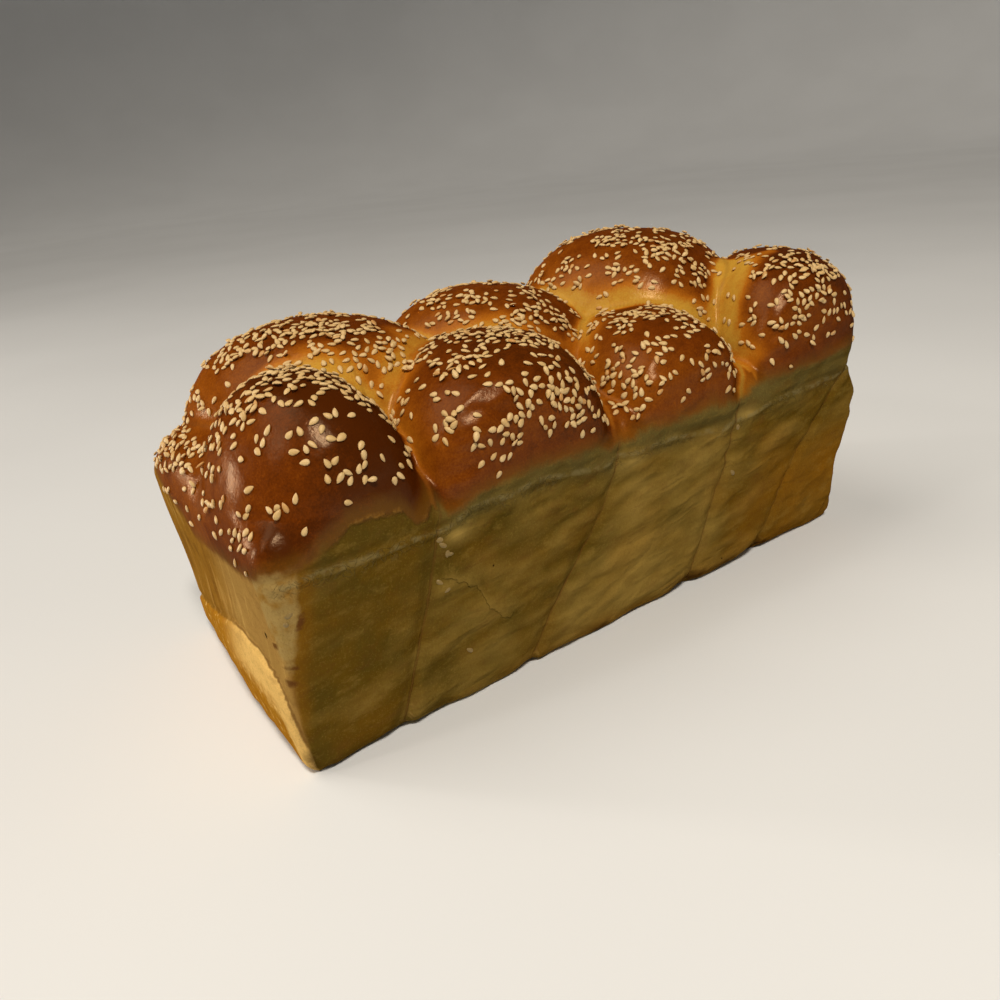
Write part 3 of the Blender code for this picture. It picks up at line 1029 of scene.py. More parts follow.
    def into_strip(self, placing: Placing) -> Array:
        """How far each point is inside the pale strip up the near corner, which is widest at the
        rim and ends a little above the base. Negative outside it.

        Args:
            placing: the crust's points.

        Returns:
            A distance in metres for each point.
        """
        x, y, z = placing.points.T
        past_front = y + self.form.tin.width / 2
        past_end = x + self.form.tin.length / 2
        wide = self.strip_width * (z - self.strip_foot) / (self.form.tin.depth - self.strip_foot)
        return wide - np.hypot(past_front, past_end + 0.0006)

    def above_flap(self, placing: Placing) -> Array:
        """How far each point is above the edge of the torn flap on the second front panel."""
        x, _, z = placing.points.T
        return 0.7 * (z - np.interp(x, *np.transpose(self.flap_line)))

    def flap_here(self, placing: Placing) -> Array:
        """Where along the front wall that flap is."""
        x, y, _ = placing.points.T
        start, end = self.flap_line[0][0], self.flap_line[-1][0]
        return eased(x, start, start + 0.003) * eased(end + 0.004 - x, 0.0, 0.006) * (y < 0.0)

    def torn(self, placing: Placing) -> Array:
        """Where the browned crust ends in a torn edge and doesn't fade: beside the first seam."""
        x, y, _ = placing.points.T
        return eased(x, -0.102, -0.098) * eased(-x, 0.0665, 0.0685) * (y < 0.0)

    def ashen(self, placing: Placing) -> Array:
        """The grey-olive band under the rim of the long walls.

        Args:
            placing: the crust's points.

        Returns:
            A share from 0 to 1 for each point.
        """
        uneven = placing.above_border + 0.0030 * self.noise.at(placing.points, 0.014)
        panel = 0.35 + 0.65 * eased(placing.seam_place, -0.05, 0.10)
        bare = 1.0 - 0.8 * self.torn(placing) * eased(placing.above_border, -0.008, -0.005)
        tall = 0.0100 + 0.0040 * eased(placing.points[:, 0], -0.020, 0.070)
        return eased(uneven, -tall, -0.0020) * placing.on_long_wall * panel * bare

    def buttery(self, placing: Placing) -> Array:
        """The pale corners of dough that show just under the border, right of a seam's top.

        Args:
            placing: the crust's points.

        Returns:
            A share from 0 to 1 for each point.
        """
        x, y, z = placing.points.T
        share = np.zeros(len(x))
        for middle_x, middle_z, wide in self.butter:
            share = np.maximum(share, bell(x, middle_x, wide) * bell(z, middle_z, 0.0020))
        return share * (y < 0.0)

    def scorched(self, placing: Placing) -> Array:
        """Toasted edges: the foot of the walls, more towards the far end, and the near corner's
        crack.

        Args:
            placing: the crust's points.

        Returns:
            A share from 0 to 1 for each point.
        """
        x, y, z = placing.points.T
        high = 0.0042 + 0.0062 * eased(x, -0.040, 0.050)
        foot = eased(high - z, 0.0, high)
        patchy = eased(self.noise.at(placing.points, (0.016, 0.016, 0.009)), -0.10, 0.35)
        corner = np.hypot(y + self.form.tin.width / 2, x + self.form.tin.length / 2)
        crack = bell(corner, 0.0025, 0.0020) * eased(0.011 - z, 0.0, 0.004)
        return np.clip(foot * patchy * eased(x, -0.050, 0.000) + crack, 0.0, 1.0)


class Value:
    """A number socket of a shader tree that takes Python arithmetic, adding a Math node for each."""

    def __init__(self, tree: bpy.types.NodeTree, socket: Any) -> None:
        """Wraps an output socket."""
        self.tree = tree
        self.socket = socket

    def worked(self, operation: str, *terms: Any) -> "Value":
        """One Math node over these terms, which are Values or numbers."""
        node = self.tree.nodes.new("ShaderNodeMath")
        node.operation = operation
        for slot, term in zip(node.inputs, terms):
            if isinstance(term, Value):
                self.tree.links.new(term.socket, slot)
            else:
                slot.default_value = term
        return Value(self.tree, node.outputs[0])

    def __add__(self, other: Any) -> "Value":
        """This plus the other."""
        return self.worked("ADD", self, other)

    __radd__ = __add__

    def __sub__(self, other: Any) -> "Value":
        """This minus the other."""
        return self.worked("SUBTRACT", self, other)

    def __rsub__(self, other: Any) -> "Value":
        """The other minus this."""
        return self.worked("SUBTRACT", other, self)

    def __mul__(self, other: Any) -> "Value":
        """This times the other."""
        return self.worked("MULTIPLY", self, other)

    __rmul__ = __mul__

    def __truediv__(self, other: Any) -> "Value":
        """This over the other."""
        return self.worked("DIVIDE", self, other)

    def fraction(self) -> "Value":
        """This, less the whole number below it."""
        return self.worked("FRACT", self)

    def bounded(self) -> "Value":
        """This, kept from 0 to 1."""
        kept = self.worked("ADD", self, 0.0)
        kept.socket.node.use_clamp = True
        return kept

    def size(self) -> "Value":
        """This without its sign."""
        return self.worked("ABSOLUTE", self)


class Painter:
    """One material's node tree, with the few kinds of node that the finishes are made of."""

    def __init__(self, name: str) -> None:
        """Makes the material, with its Principled shader."""
        self.material = bpy.data.materials.new(name)
        self.material.use_nodes = True
        self.tree = self.material.node_tree
        self.shader = self.tree.nodes["Principled BSDF"]
        self.place = self.node("ShaderNodeTexCoord").outputs["Object"]

    def node(
        self, kind: str, settings: Mapping[str, Any] | None = None, values: Mapping[Any, Any] | None = None
    ) -> bpy.types.Node:
        """Adds one node.

        Args:
            kind: the node's type.
            settings: its properties, which are set first.
            values: what each of its input sockets holds or is linked to, by name or number.

        Returns:
            The node.
        """
        node = self.tree.nodes.new(kind)
        for name, setting in (settings or {}).items():
            setattr(node, name, setting)
        for name, value in (values or {}).items():
            self.feed(node.inputs[name], value)
        return node

    def feed(self, slot: Any, value: Any) -> None:
        """Links a socket or a Value to an input, or sets a constant on it."""
        if isinstance(value, Value):
            self.tree.links.new(value.socket, slot)
        elif isinstance(value, bpy.types.NodeSocket):
            self.tree.links.new(value, slot)
        elif slot.type == "RGBA" and len(value) == 3:
            slot.default_value = (*value, 1.0)
        else:
            slot.default_value = value

    def value(self, socket: Any) -> Value:
        """Wraps a socket of this tree."""
        return Value(self.tree, socket)

    def attribute(self, name: str) -> Value:
        """A number that the mesh holds for each of its points."""
        return self.value(self.node("ShaderNodeAttribute", {"attribute_name": name}).outputs["Fac"])

    def noise(
        self, grain: float, detail: float = 2.0, rough: float = 0.5, place: Any = None, bend: float = 0.0
    ) -> Value:
        """Noise from 0 to 1.

        Args:
            grain: the size of its largest lumps, in metres.
            detail: how many finer octaves it has.
            rough: how strong each finer octave is.
            place: where it is read, the object's own coordinates unless given.
            bend: how far it is bent by itself.

        Returns:
            The noise.
        """
        values = {
            "Vector": self.place if place is None else place,
            "Scale": 1.0 / grain,
            "Detail": detail,
            "Roughness": rough,
            "Distortion": bend,
        }
        return self.value(self.node("ShaderNodeTexNoise", None, values).outputs["Fac"])

    def stretched(self, scale: Sequence[float], turn: Sequence[float] = (0.0, 0.0, 0.0)) -> Any:
        """The object's coordinates, turned and then scaled on each axis."""
        settings = {"vector_type": "POINT"}
        turned = self.node("ShaderNodeMapping", settings, {"Vector": self.place, "Rotation": turn})
        values = {"Vector": turned.outputs[0], "Scale": scale}
        return self.node("ShaderNodeMapping", settings, values).outputs[0]

    def rise(self, value: Value, low: float, high: float) -> Value:
        """0 at low, 1 at high and smooth between them, low above high for a fall."""
        values = {"Value": value, "From Min": low, "From Max": high, "To Min": 0.0, "To Max": 1.0}
        node = self.node("ShaderNodeMapRange", {"interpolation_type": "SMOOTHSTEP"}, values)
        return self.value(node.outputs["Result"])

    def mixed(self, below: Any, above: Any, share: Any) -> Any:
        """One colour over another, by a share from 0 to 1."""
        values = {0: share, 6: below, 7: above}
        return self.node("ShaderNodeMix", {"data_type": "RGBA"}, values).outputs[2]

    def ramp(self, value: Value, stops: Sequence[tuple[float, Colour]]) -> Any:
        """A colour from a ramp of these stops, each a place from 0 to 1 and its colour."""
        node = self.node("ShaderNodeValToRGB", None, {"Fac": value})
        points = node.color_ramp.elements
        while len(points) < len(stops):
            points.new(1.0)
        for point, (place, colour) in zip(points, stops):
            point.position = place
            point.color = (*colour, 1.0)
        return node.outputs["Color"]

    def bump(self, height: Value, depth: float, below: Any = None) -> Any:
        """A normal bent by a height from 0 to 1 that stands for a real depth in metres."""
        values = {"Height": height, "Strength": 1.0, "Distance": depth}
        if below is not None:
            values["Normal"] = below
        return self.node("ShaderNodeBump", None, values).outputs["Normal"]

    def glaze(self, share: Value, values: Mapping[str, Any]) -> None:
        """Lays a second Principled shader over the first one.

        Args:
            share: how much of it there is, from 0 to 1.
            values: what its sockets hold or are linked to.
        """
        over = self.node("ShaderNodeBsdfPrincipled", None, values).outputs[0]
        both = self.node("ShaderNodeMixShader", None, {0: share, 1: self.shader.outputs[0], 2: over})
        self.tree.links.new(both.outputs[0], self.tree.nodes["Material Output"].inputs["Surface"])

    def dress(self, values: Mapping[str, Any]) -> bpy.types.Material:
        """Feeds the Principled shader's sockets and gives the material."""
        for name, value in values.items():
            self.feed(self.shader.inputs[name], value)
        return self.material


@dataclass(frozen=True)
class CrustMasks:
    """Where the crust has what, as shader values that are 1 there and 0 elsewhere.

    above and flap are heights in millimetres instead, above the crowns' border and above the torn
    flap's edge, and strands are coordinates drawn out along the walls' seams.
    """

    above: Value
    crown: Value
    wall: Value
    torn: Value
    lip: Value
    strands: Any
    pits: Value
    seams: Value
    puckers: Value
    flap: Value
    flap_edge: Value


@dataclass(frozen=True)
class CrustFinish:
    """The crust: glazed brown on the crowns, golden in the creases, dull and pale on the walls."""

    golden: Colour = (0.520, 0.285, 0.034)
    honey: Colour = (0.400, 0.125, 0.007)
    russet: Colour = (0.240, 0.062, 0.003)
    mahogany: Colour = (0.132, 0.027, 0.001)
    dark: Colour = (0.062, 0.0125, 0.0005)
    amber: Colour = (0.150, 0.068, 0.006)
    wall_pale: Colour = (0.290, 0.188, 0.042)
    wall_olive: Colour = (0.088, 0.056, 0.007)
    wall_brown: Colour = (0.112, 0.063, 0.006)
    wall_orange: Colour = (0.225, 0.094, 0.006)
    wall_tan: Colour = (0.270, 0.130, 0.017)
    tan_light: Colour = (0.350, 0.205, 0.055)
    # The near end's foot colours, brighter than the walls': partly their own colour, partly painted light.
    foot_orange: Colour = (0.385, 0.172, 0.013)
    foot_honey: Colour = (0.330, 0.135, 0.011)
    foot_cream: Colour = (0.720, 0.460, 0.145)
    strip_cream: Colour = (0.350, 0.240, 0.082)
    butter: Colour = (0.350, 0.235, 0.060)
    ash: Colour = (0.112, 0.084, 0.023)
    ash_light: Colour = (0.220, 0.180, 0.080)
    # A toasted brown for streaks, seams and marks, also used for the painted shade in the creases and along
    # the near end's fold.
    toast_and_shade: Colour = (0.110, 0.040, 0.010)
    char: Colour = (0.040, 0.014, 0.003)
    # Painted shade in the small holes.
    pit_shade: Colour = (0.030, 0.012, 0.004)
    glaze_roughness: float = 0.26
    glaze_share: float = 0.068
    glaze_index: float = 3.2
    wall_roughness: float = 0.72
    panel: float = 0.0575
    wall_turn: tuple[float, float, float] = (0.0, 0.13, 0.0)
    glaze_tint: Colour = (1.00, 0.72, 0.46)

    def browns(self, paint: Painter) -> Any:
        """The crowns' colour, by how brown each point is, mottled at three sizes, with painted shade along
        the creases.

        Args:
            paint: the material.

        Returns:
            The colour.
        """
        slow = paint.noise(0.014, 2.0) - 0.5
        quick = paint.noise(0.0035, 3.0, 0.65) - 0.5
        fine = paint.noise(0.0006, 2.0, 0.7) - 0.5
        shade = (paint.attribute("browned") + 0.22 * slow + 0.26 * quick + 0.34 * fine).bounded()
        stops = (
            (0.00, self.golden),
            (0.30, self.honey),
            (0.58, self.russet),
            (0.80, self.mahogany),
            (1.00, self.dark),
        )
        colour = paint.ramp(shade, stops)
        # Painted shade: a thin dark line down each crease between strands.
        return paint.mixed(colour, self.toast_and_shade, paint.attribute("crease_shade") * 0.32)

    def walls(self, paint: Painter, strands: Any) -> Any:
        """The walls' colour: clouds of olive and brown with ridges painted paler and hollows darker as
        light and shade, tan and cream at the ends, and a grey band under the rim.

        Args:
            paint: the material.
            strands: coordinates drawn out along the seams.

        Returns:
            The colour.
        """
        clouds = paint.noise(0.013, 4.0, 0.6)
        colour = paint.mixed(self.wall_olive, self.wall_brown, paint.rise(clouds, 0.38, 0.62))
        streaks = paint.noise(1.0, 3.0, 0.5, paint.stretched((52.0, 52.0, 150.0), self.wall_turn))
        # The relief's height paints ridges paler and hollows darker: painted light and shade, added to the
        # streaks.
        ridges = (streaks - 0.5) * 1.35 + (paint.attribute("relief_shading") - 0.5) * 0.9
        colour = paint.mixed(colour, self.wall_pale, (paint.attribute("pale") + ridges).bounded() * 0.85)
        colour = paint.mixed(colour, self.wall_orange, paint.attribute("warm"))
        colour = paint.mixed(colour, self.ash, paint.attribute("ashen") * paint.rise(clouds, 0.15, 0.62))
        colour = self.near_end(paint, colour)
        colour = self.corner_strip(paint, colour)
        drawn = paint.noise(1.0, 2.0, 0.6, strands)
        drawn = paint.rise(drawn, 0.48, 0.80) * paint.attribute("long_wall")
        colour = paint.mixed(colour, self.toast_and_shade, drawn * 0.12)
        patches = paint.noise(1.0, 4.0, 0.7, paint.stretched((110.0, 110.0, 210.0), self.wall_turn))
        colour = paint.mixed(colour, self.toast_and_shade, paint.rise(patches, 0.50, 0.74) * 0.27)
        colour = paint.mixed(colour, self.wall_pale, paint.rise(patches, 0.48, 0.30) * 0.24)
        grain = paint.noise(0.0006, 2.0, 0.7)
        colour = paint.mixed(colour, self.toast_and_shade, paint.rise(grain, 0.48, 0.70) * 0.22)
        colour = paint.mixed(colour, self.wall_pale, paint.rise(grain, 0.46, 0.30) * 0.20)
        return paint.mixed(colour, self.butter, paint.attribute("buttery") * 0.8)

    def near_end(self, paint: Painter, colour: Any) -> Any:
        """The end walls: streaked tan, and below the near one's fold bright orange, paler along
        the fold, with a painted shadow just above it. The ends are painted brighter than the long
        walls: partly their own colour, partly painted light, as the near end faces the light.

        Args:
            paint: the material.
            colour: the walls' colour.

        Returns:
            The colour with the ends over it.
        """
        end = paint.attribute("end_wall")
        streaks = paint.noise(1.0, 2.0, 0.5, paint.stretched((190.0, 190.0, 42.0)), 0.9)
        by_corner = paint.attribute("by_corner")
        # The ends' tan, brighter than the long walls' olive: partly its own colour, partly painted light.
        tan = paint.mixed(self.wall_tan, self.tan_light, by_corner)
        tan = paint.mixed(tan, self.toast_and_shade, paint.rise(streaks, 0.48, 0.72) * (0.42 - 0.32 * by_corner))
        tan = paint.mixed(tan, self.foot_cream, paint.rise(streaks, 0.46, 0.30) * 0.22)
        colour = paint.mixed(colour, tan, end)
        below = paint.attribute("below_fold")
        uneven = below + (paint.noise(0.0060, 2.0) - 0.5) * 1.2
        mottle = paint.noise(0.0034, 3.0, 0.6)
        # The foot below the fold, painted bright orange and cream: partly its own colour, partly painted
        # light.
        orange = paint.mixed(self.foot_orange, self.foot_honey, paint.rise(mottle, 0.45, 0.70))
        orange = paint.mixed(orange, self.foot_cream, paint.rise(mottle, 0.44, 0.26) * 0.7)
        share = paint.rise(below + (mottle - 0.5) * 10.0, 17.0, 8.0) * by_corner
        foot = paint.mixed(orange, self.foot_cream, share)
        colour = paint.mixed(colour, foot, paint.rise(uneven, -0.25, 0.25) * end)
        # Painted shadow: a dark line just above the fold, under the dough that overhangs it.
        shadow = paint.rise((uneven + 0.30).size(), 0.55, 0.10) * end * by_corner
        return paint.mixed(colour, self.toast_and_shade, shadow * 0.50)

    def corner_strip(self, paint: Painter, colour: Any) -> Any:
        """The pale strip up the near corner, toasted in spots along both its edges.

        Args:
            paint: the material.
            colour: the walls' colour.

        Returns:
            The colour with the strip over it.
        """
        inside = paint.attribute("into_strip") + (paint.noise(0.0070, 4.0, 0.6) - 0.5) * 4.0
        tan = paint.rise(paint.noise(0.0050, 3.0), 0.45, 0.75)
        pale = paint.mixed(self.strip_cream, self.wall_tan, tan)
        front = paint.attribute("long_wall")
        colour = paint.mixed(colour, self.wall_orange, paint.rise(inside, -6.0, -0.8) * front * 0.50)
        colour = paint.mixed(colour, pale, paint.rise(inside, -0.8, 1.2) * 0.90)
        spots = paint.rise(paint.noise(1.0, 2.0, 0.6, paint.stretched((60.0, 60.0, 210.0))), 0.50, 0.62)
        marks = paint.rise((inside + 0.4).size(), 1.3, 0.4) * spots
        return paint.mixed(colour, self.toast_and_shade, marks * 0.90)

    def strands(self, paint: Painter) -> Any:
        """Coordinates that are drawn out along the walls' seams."""
        split = paint.node("ShaderNodeSeparateXYZ", None, {0: paint.place})
        place = paint.attribute("seam_place") * (self.panel / 0.0007)
        values = {
            "X": place,
            "Y": paint.value(split.outputs["Y"]) * 60.0,
            "Z": paint.value(split.outputs["Z"]) * 90.0,
        }
        return paint.node("ShaderNodeCombineXYZ", None, values).outputs[0]

    def seams(self, paint: Painter) -> Value:
        """The seams' thin dark lines: 1 on a seam, 0 outside. A seam is where the place among
        the seams is a whole number, a panel apart."""
        wobble = (paint.noise(0.0060, 2.0) - 0.5) * 0.0010
        from_seam = ((paint.attribute("seam_place") + 0.5).fraction() - 0.5) * self.panel
        line = paint.rise((from_seam + wobble).size(), 0.00065, 0.00010)
        strength = 0.45 + 0.55 * paint.rise(paint.noise(0.02), 0.35, 0.6)
        return line * paint.attribute("long_wall") * strength

    def puckers(self, paint: Painter) -> Value:
        """Worm-like folds in the band at the ledge: 1 on a fold, 0 outside."""
        above = paint.attribute("above_ledge")
        band = paint.rise(above, -4.0, -2.0) * paint.rise(above, 2.5, 0.5) * paint.attribute("long_wall")
        worms = paint.noise(0.0030, 1.0, 0.5, bend=1.2)
        patchy = paint.rise(paint.noise(0.011, 1.0), 0.36, 0.56)
        return paint.rise((worms - 0.5).size(), 0.06, 0.0) * band * patchy

    def pits(self, paint: Painter, spacing: float, width: float, kept: float) -> Value:
        """Small round holes, one in some of the cells of a cell pattern.

        Args:
            paint: the material.
            spacing: how far apart the cells' middles are.
            width: how wide the widest hole is.
            kept: the share of the cells that hold one.

        Returns:
            1 in a hole, 0 outside.
        """
        values = {"Vector": paint.place, "Scale": 1.0 / spacing}
        node = paint.node("ShaderNodeTexVoronoi", {"feature": "F1"}, values)
        distance = paint.value(node.outputs["Distance"])
        split = paint.node("ShaderNodeSeparateColor", None, {"Color": node.outputs["Color"]})
        chosen = paint.rise(paint.value(split.outputs["Red"]), 1.0 - kept, 1.0 - kept + 0.01)
        reach = paint.value(split.outputs["Green"]) * (width / spacing) + 0.02
        return paint.rise(distance / reach, 1.0, 0.35) * chosen

    def masks(self, paint: Painter) -> CrustMasks:
        """Where the crown, the wall and their marks are. The border between crown and wall is
        uneven: it fades, apart from beside the first seam, where it is torn and has a pale lip.

        Args:
            paint: the material.

        Returns:
            The masks.
        """
        above = paint.attribute("above_border") + (paint.noise(0.0050, 4.0, 0.62) - 0.5) * 5.0
        ragged = paint.attribute("above_border") + (paint.noise(0.0032, 3.0, 0.6) - 0.5) * 2.6
        torn = paint.rise(ragged, -0.80, 0.90)
        torn_here = paint.attribute("torn")
        lip = paint.rise(ragged, -0.70, 0.50) * paint.rise(ragged, 2.2, 0.4) * torn_here
        faded = paint.rise(above, 0.0, 3.6)
        crown = faded + (torn - faded) * torn_here
        wall = 1.0 - crown
        flap = paint.attribute("above_flap") + (paint.noise(0.0050, 3.0, 0.6) - 0.5) * 7.0
        return CrustMasks(
            above=above,
            crown=crown,
            wall=wall,
            torn=torn * torn_here,
            lip=lip * paint.rise(paint.noise(0.0042, 3.0, 0.6), 0.48, 0.64),
            strands=self.strands(paint),
            pits=self.pits(paint, 0.0130, 0.0011, 0.55) * wall,
            seams=self.seams(paint) * wall,
            puckers=self.puckers(paint),
            flap=flap,
            flap_edge=paint.rise(flap, -0.20, 0.25) * paint.attribute("flap_here"),
        )

    def coloured(self, paint: Painter, masks: CrustMasks) -> Any:
        """The crust's colour: the crowns over the walls, then the pale and dark marks over both.

        Args:
            paint: the material.
            masks: where the marks are.

        Returns:
            The colour.
        """
        above_ledge = paint.attribute("above_ledge") - 0.3
        ledge = paint.rise(above_ledge.size(), 1.3, 0.3) * paint.attribute("long_wall")
        ledge = ledge * paint.rise(paint.noise(0.0040, 3.0, 0.6), 0.40, 0.62) * masks.wall
        scorched = paint.attribute("scorched") * paint.rise(paint.noise(0.0030, 3.0, 0.65), 0.24, 0.52)
        brown = paint.mixed(self.browns(paint), self.amber, paint.rise(masks.above, 8.0, 1.5) * 0.55)
        colour = paint.mixed(self.walls(paint, masks.strands), brown, masks.crown)
        colour = paint.mixed(colour, self.wall_tan, masks.lip * 0.50)
        colour = paint.mixed(colour, self.ash_light, ledge * 0.45)
        colour = paint.mixed(colour, self.ash_light, masks.puckers * 0.16)
        colour = paint.mixed(colour, self.toast_and_shade, masks.seams * 0.45)
        colour = paint.mixed(colour, self.char, scorched)
        # Painted shade: the pits are darkened almost to black.
        colour = paint.mixed(colour, self.pit_shade, masks.pits)
        # Painted highlight: a pale line along the top of the torn flap's edge.
        return paint.mixed(colour, self.wall_pale, masks.flap_edge * paint.rise(masks.flap, 3.0, 0.2) * 0.28)

    def bent(self, paint: Painter, masks: CrustMasks) -> Any:
        """The crust's normal, bent by its crumples, fibres, seams, puckers, torn edges and pits.

        Args:
            paint: the material.
            masks: where they are.

        Returns:
            The normal.
        """
        crumple = paint.noise(1.0, 2.0, 0.40, paint.stretched((62.0, 62.0, 190.0), self.wall_turn), 0.5)
        rumpled = 0.35 + 0.65 * paint.rise(paint.noise(0.020, 1.0), 0.42, 0.60)
        calm = 0.30 + 0.70 * paint.rise(paint.attribute("seam_place"), -0.04, 0.04)
        normal = paint.bump(crumple * masks.wall * rumpled * calm, 0.00200)
        fibres = paint.noise(1.0, 2.0, 0.6, masks.strands) * masks.wall * paint.attribute("long_wall")
        normal = paint.bump(fibres, 0.00010, normal)
        normal = paint.bump(1.0 - masks.seams, 0.00030, normal)
        normal = paint.bump(masks.puckers, 0.00020, normal)
        normal = paint.bump(masks.torn * 0.6 + masks.lip * 0.4, 0.00100, normal)
        normal = paint.bump(masks.flap_edge * paint.rise(masks.flap, 7.0, 0.3), 0.00060, normal)
        normal = paint.bump(paint.noise(0.0012, 3.0, 0.65), 0.00016, normal)
        return paint.bump(1.0 - masks.pits, 0.0004, normal)

    def material(self) -> bpy.types.Material:
        """The crust's material: a dull base, and a glaze over the crowns that sparkles a little.

        Returns:
            The material.
        """
        paint = Painter("golden_crust")
        masks = self.masks(paint)
        colour = self.coloured(paint, masks)
        sparkle = paint.bump(paint.noise(0.0035, 2.0), 0.00010)
        glaze = {
            "Base Color": colour,
            "Roughness": self.glaze_roughness,
            "IOR": self.glaze_index,
            "Specular Tint": self.glaze_tint,
            "Normal": paint.bump(paint.noise(0.0010, 3.0, 0.65), 0.00008, sparkle),
        }
        paint.glaze(masks.crown * self.glaze_share, glaze)
        base = {
            "Base Color": colour,
            "Roughness": self.wall_roughness,
            "Specular IOR Level": 0.0,
            "Normal": self.bent(paint, masks),
        }
        return paint.dress(base)


def modelled(
    name: str, points: Array, faces: list, material: bpy.types.Material, shares: Mapping[str, Array]
) -> bpy.types.Object:
    """Makes a smooth object of one material and puts it in the scene.

    Args:
        name: what the object and its mesh are called.
        points: one row of three numbers for each point.
        faces: the point numbers of each face.
        material: what it is made of.
        shares: what the material reads at each point, by name.

    Returns:
        The object.
    """
    mesh = bpy.data.meshes.new(name)
    mesh.from_pydata(points, [], faces)
    mesh.shade_smooth()
    for share, values in shares.items():
        mesh.attributes.new(share, "FLOAT", "POINT").data.foreach_set("value", values.astype(np.float32))
    mesh.materials.append(material)
    made = bpy.data.objects.new(name, mesh)
    bpy.context.scene.collection.objects.link(made)
    return made


@dataclass
class Crust:
    """The loaf itself, from its base to its crowns, as one closed skin."""

    form: LoafForm
    finish: CrustFinish
    evening_rounds: int = 8
    evening_share: float = 0.7
    evening_start: float = 0.0020
    evening_rise: float = 0.0100
    gentlest_slope: float = 0.25
    noise_seed: int = 11

    def evened(self, points: Array, quads: Array) -> Array:
        """Evens the mesh out above the rim: each point moves towards the mean of its neighbours,
        then back onto the crust along the field's slope.

        Args:
            points: the crust's points, which it moves.
            quads: the crust's cells.

        Returns:
            The points.
        """
        ends = np.concatenate([np.roll(quads, -turn, axis=1)[:, :2] for turn in range(4)])
        count = np.bincount(ends[:, 0], minlength=len(points))[:, None]
        rim = self.form.tin.depth
        moved = points[:, 2] > rim + self.evening_start
        share = self.evening_share * eased(points[moved, 2], rim, rim + self.evening_rise)[:, None]
        for _ in range(self.evening_rounds):
            sums = [np.bincount(ends[:, 0], points[ends[:, 1], axis], len(points)) for axis in range(3)]
            mean = np.stack(sums, axis=1) / count
            near = points[moved] + share * (mean[moved] - points[moved])
            here = self.form.field(near)
            slope = self.form.slope(near, here)
            steep = np.maximum((slope**2).sum(axis=1), self.gentlest_slope)
            points[moved] = near - slope * (here / steep)[:, None]
        return points

    def build(self) -> bpy.types.Object:
        """Makes the crust's mesh, with what its material reads at each point.

        Returns:
            The loaf's object.
        """
        grid = BoxGrid.over(self.form.tin)
        quads = grid.quads()
        points = self.form.onto_crust(grid.points())
        points = self.evened(points, quads)
        outward = self.form.outward(points)
        placing = Survey(self.form).placing(points, outward)
        noise = Noise(self.noise_seed)
        relief = Relief(self.form, noise)
        height = relief.height(placing)
        shaped = points + outward * height[:, None]
        shaped[:, 2] = np.maximum(shaped[:, 2], 0.0)
        shaped[:, :2] += self.form.tin.middle
        faces = [*quads.tolist(), grid.base().tolist()]
        baking = Baking(self.form, noise)
        shares = {
            "browned": baking.browned(placing),
            "crease_shade": baking.crease_shade(placing),
            "warm": baking.warm(placing),
            "pale": baking.pale(placing),
            # The relief's height, which the walls' colour reads as painted light and shade.
            "relief_shading": np.clip(0.5 + height / 0.0020, 0.0, 1.0),
            "below_fold": np.clip(baking.below_fold(placing) * 1000.0, -20.0, 40.0),
            "into_strip": np.clip(baking.into_strip(placing) * 1000.0, -20.0, 20.0),
            "by_corner": eased(-placing.points[:, 1], -0.006, 0.022),
            "end_wall": placing.on_end_wall,
            "long_wall": placing.on_long_wall,
            "seam_place": placing.seam_place,
            "ashen": baking.ashen(placing),
            "buttery": baking.buttery(placing),
            "scorched": baking.scorched(placing),
            "torn": baking.torn(placing),
            "above_flap": np.clip(baking.above_flap(placing) * 1000.0, -20.0, 20.0),
            "flap_here": baking.flap_here(placing),
            "above_ledge": np.clip(relief.above_ledge(placing) * 1000.0, -20.0, 20.0),
            "above_border": np.clip(placing.above_border * 1000.0, -20.0, 20.0),
        }
        return modelled("challah_crust", shaped, faces, self.finish.material(), shares)


@dataclass(frozen=True)
class Patch:
    """A dense patch of seeds round a point on the crust, about the tin's middle."""

    x: float
    y: float
    z: float
    reach: float
    crowding: float


@dataclass(frozen=True)
class SesameFinish:
    """Hulled sesame: cream, a few grains toasted, the ones pressed into the wall as dark as it,
    and every seed darkened along its side edges and tip as painted shade.
    """

    pale: Colour = (0.690, 0.500, 0.240)
    cream: Colour = (0.580, 0.385, 0.150)
    # Also used for the painted shade round each seed's edges.
    toasted: Colour = (0.520, 0.250, 0.060)
    pressed: Colour = (0.230, 0.150, 0.040)

    def material(self) -> bpy.types.Material:
        """The seeds' material."""
        paint = Painter("sesame")
        colour = paint.mixed(self.cream, self.pale, paint.attribute("tone"))
        colour = paint.mixed(colour, self.toasted, paint.attribute("toasted"))
        # Painted shade: each seed darker along its side edges and towards its tip.
        colour = paint.mixed(colour, self.toasted, paint.attribute("edge") * 0.35)
        mottle = paint.rise(paint.noise(0.0008, 2.0), 0.45, 0.75)
        colour = paint.mixed(colour, self.cream, mottle * 0.4)
        colour = paint.mixed(colour, self.pressed, paint.attribute("pressed"))
        normal = paint.bump(paint.noise(0.0006, 2.0), 0.00003)
        rough = 0.42 + paint.noise(0.0010, 2.0) * 0.16
        return paint.dress({"Base Color": colour, "Roughness": rough, "Normal": normal})


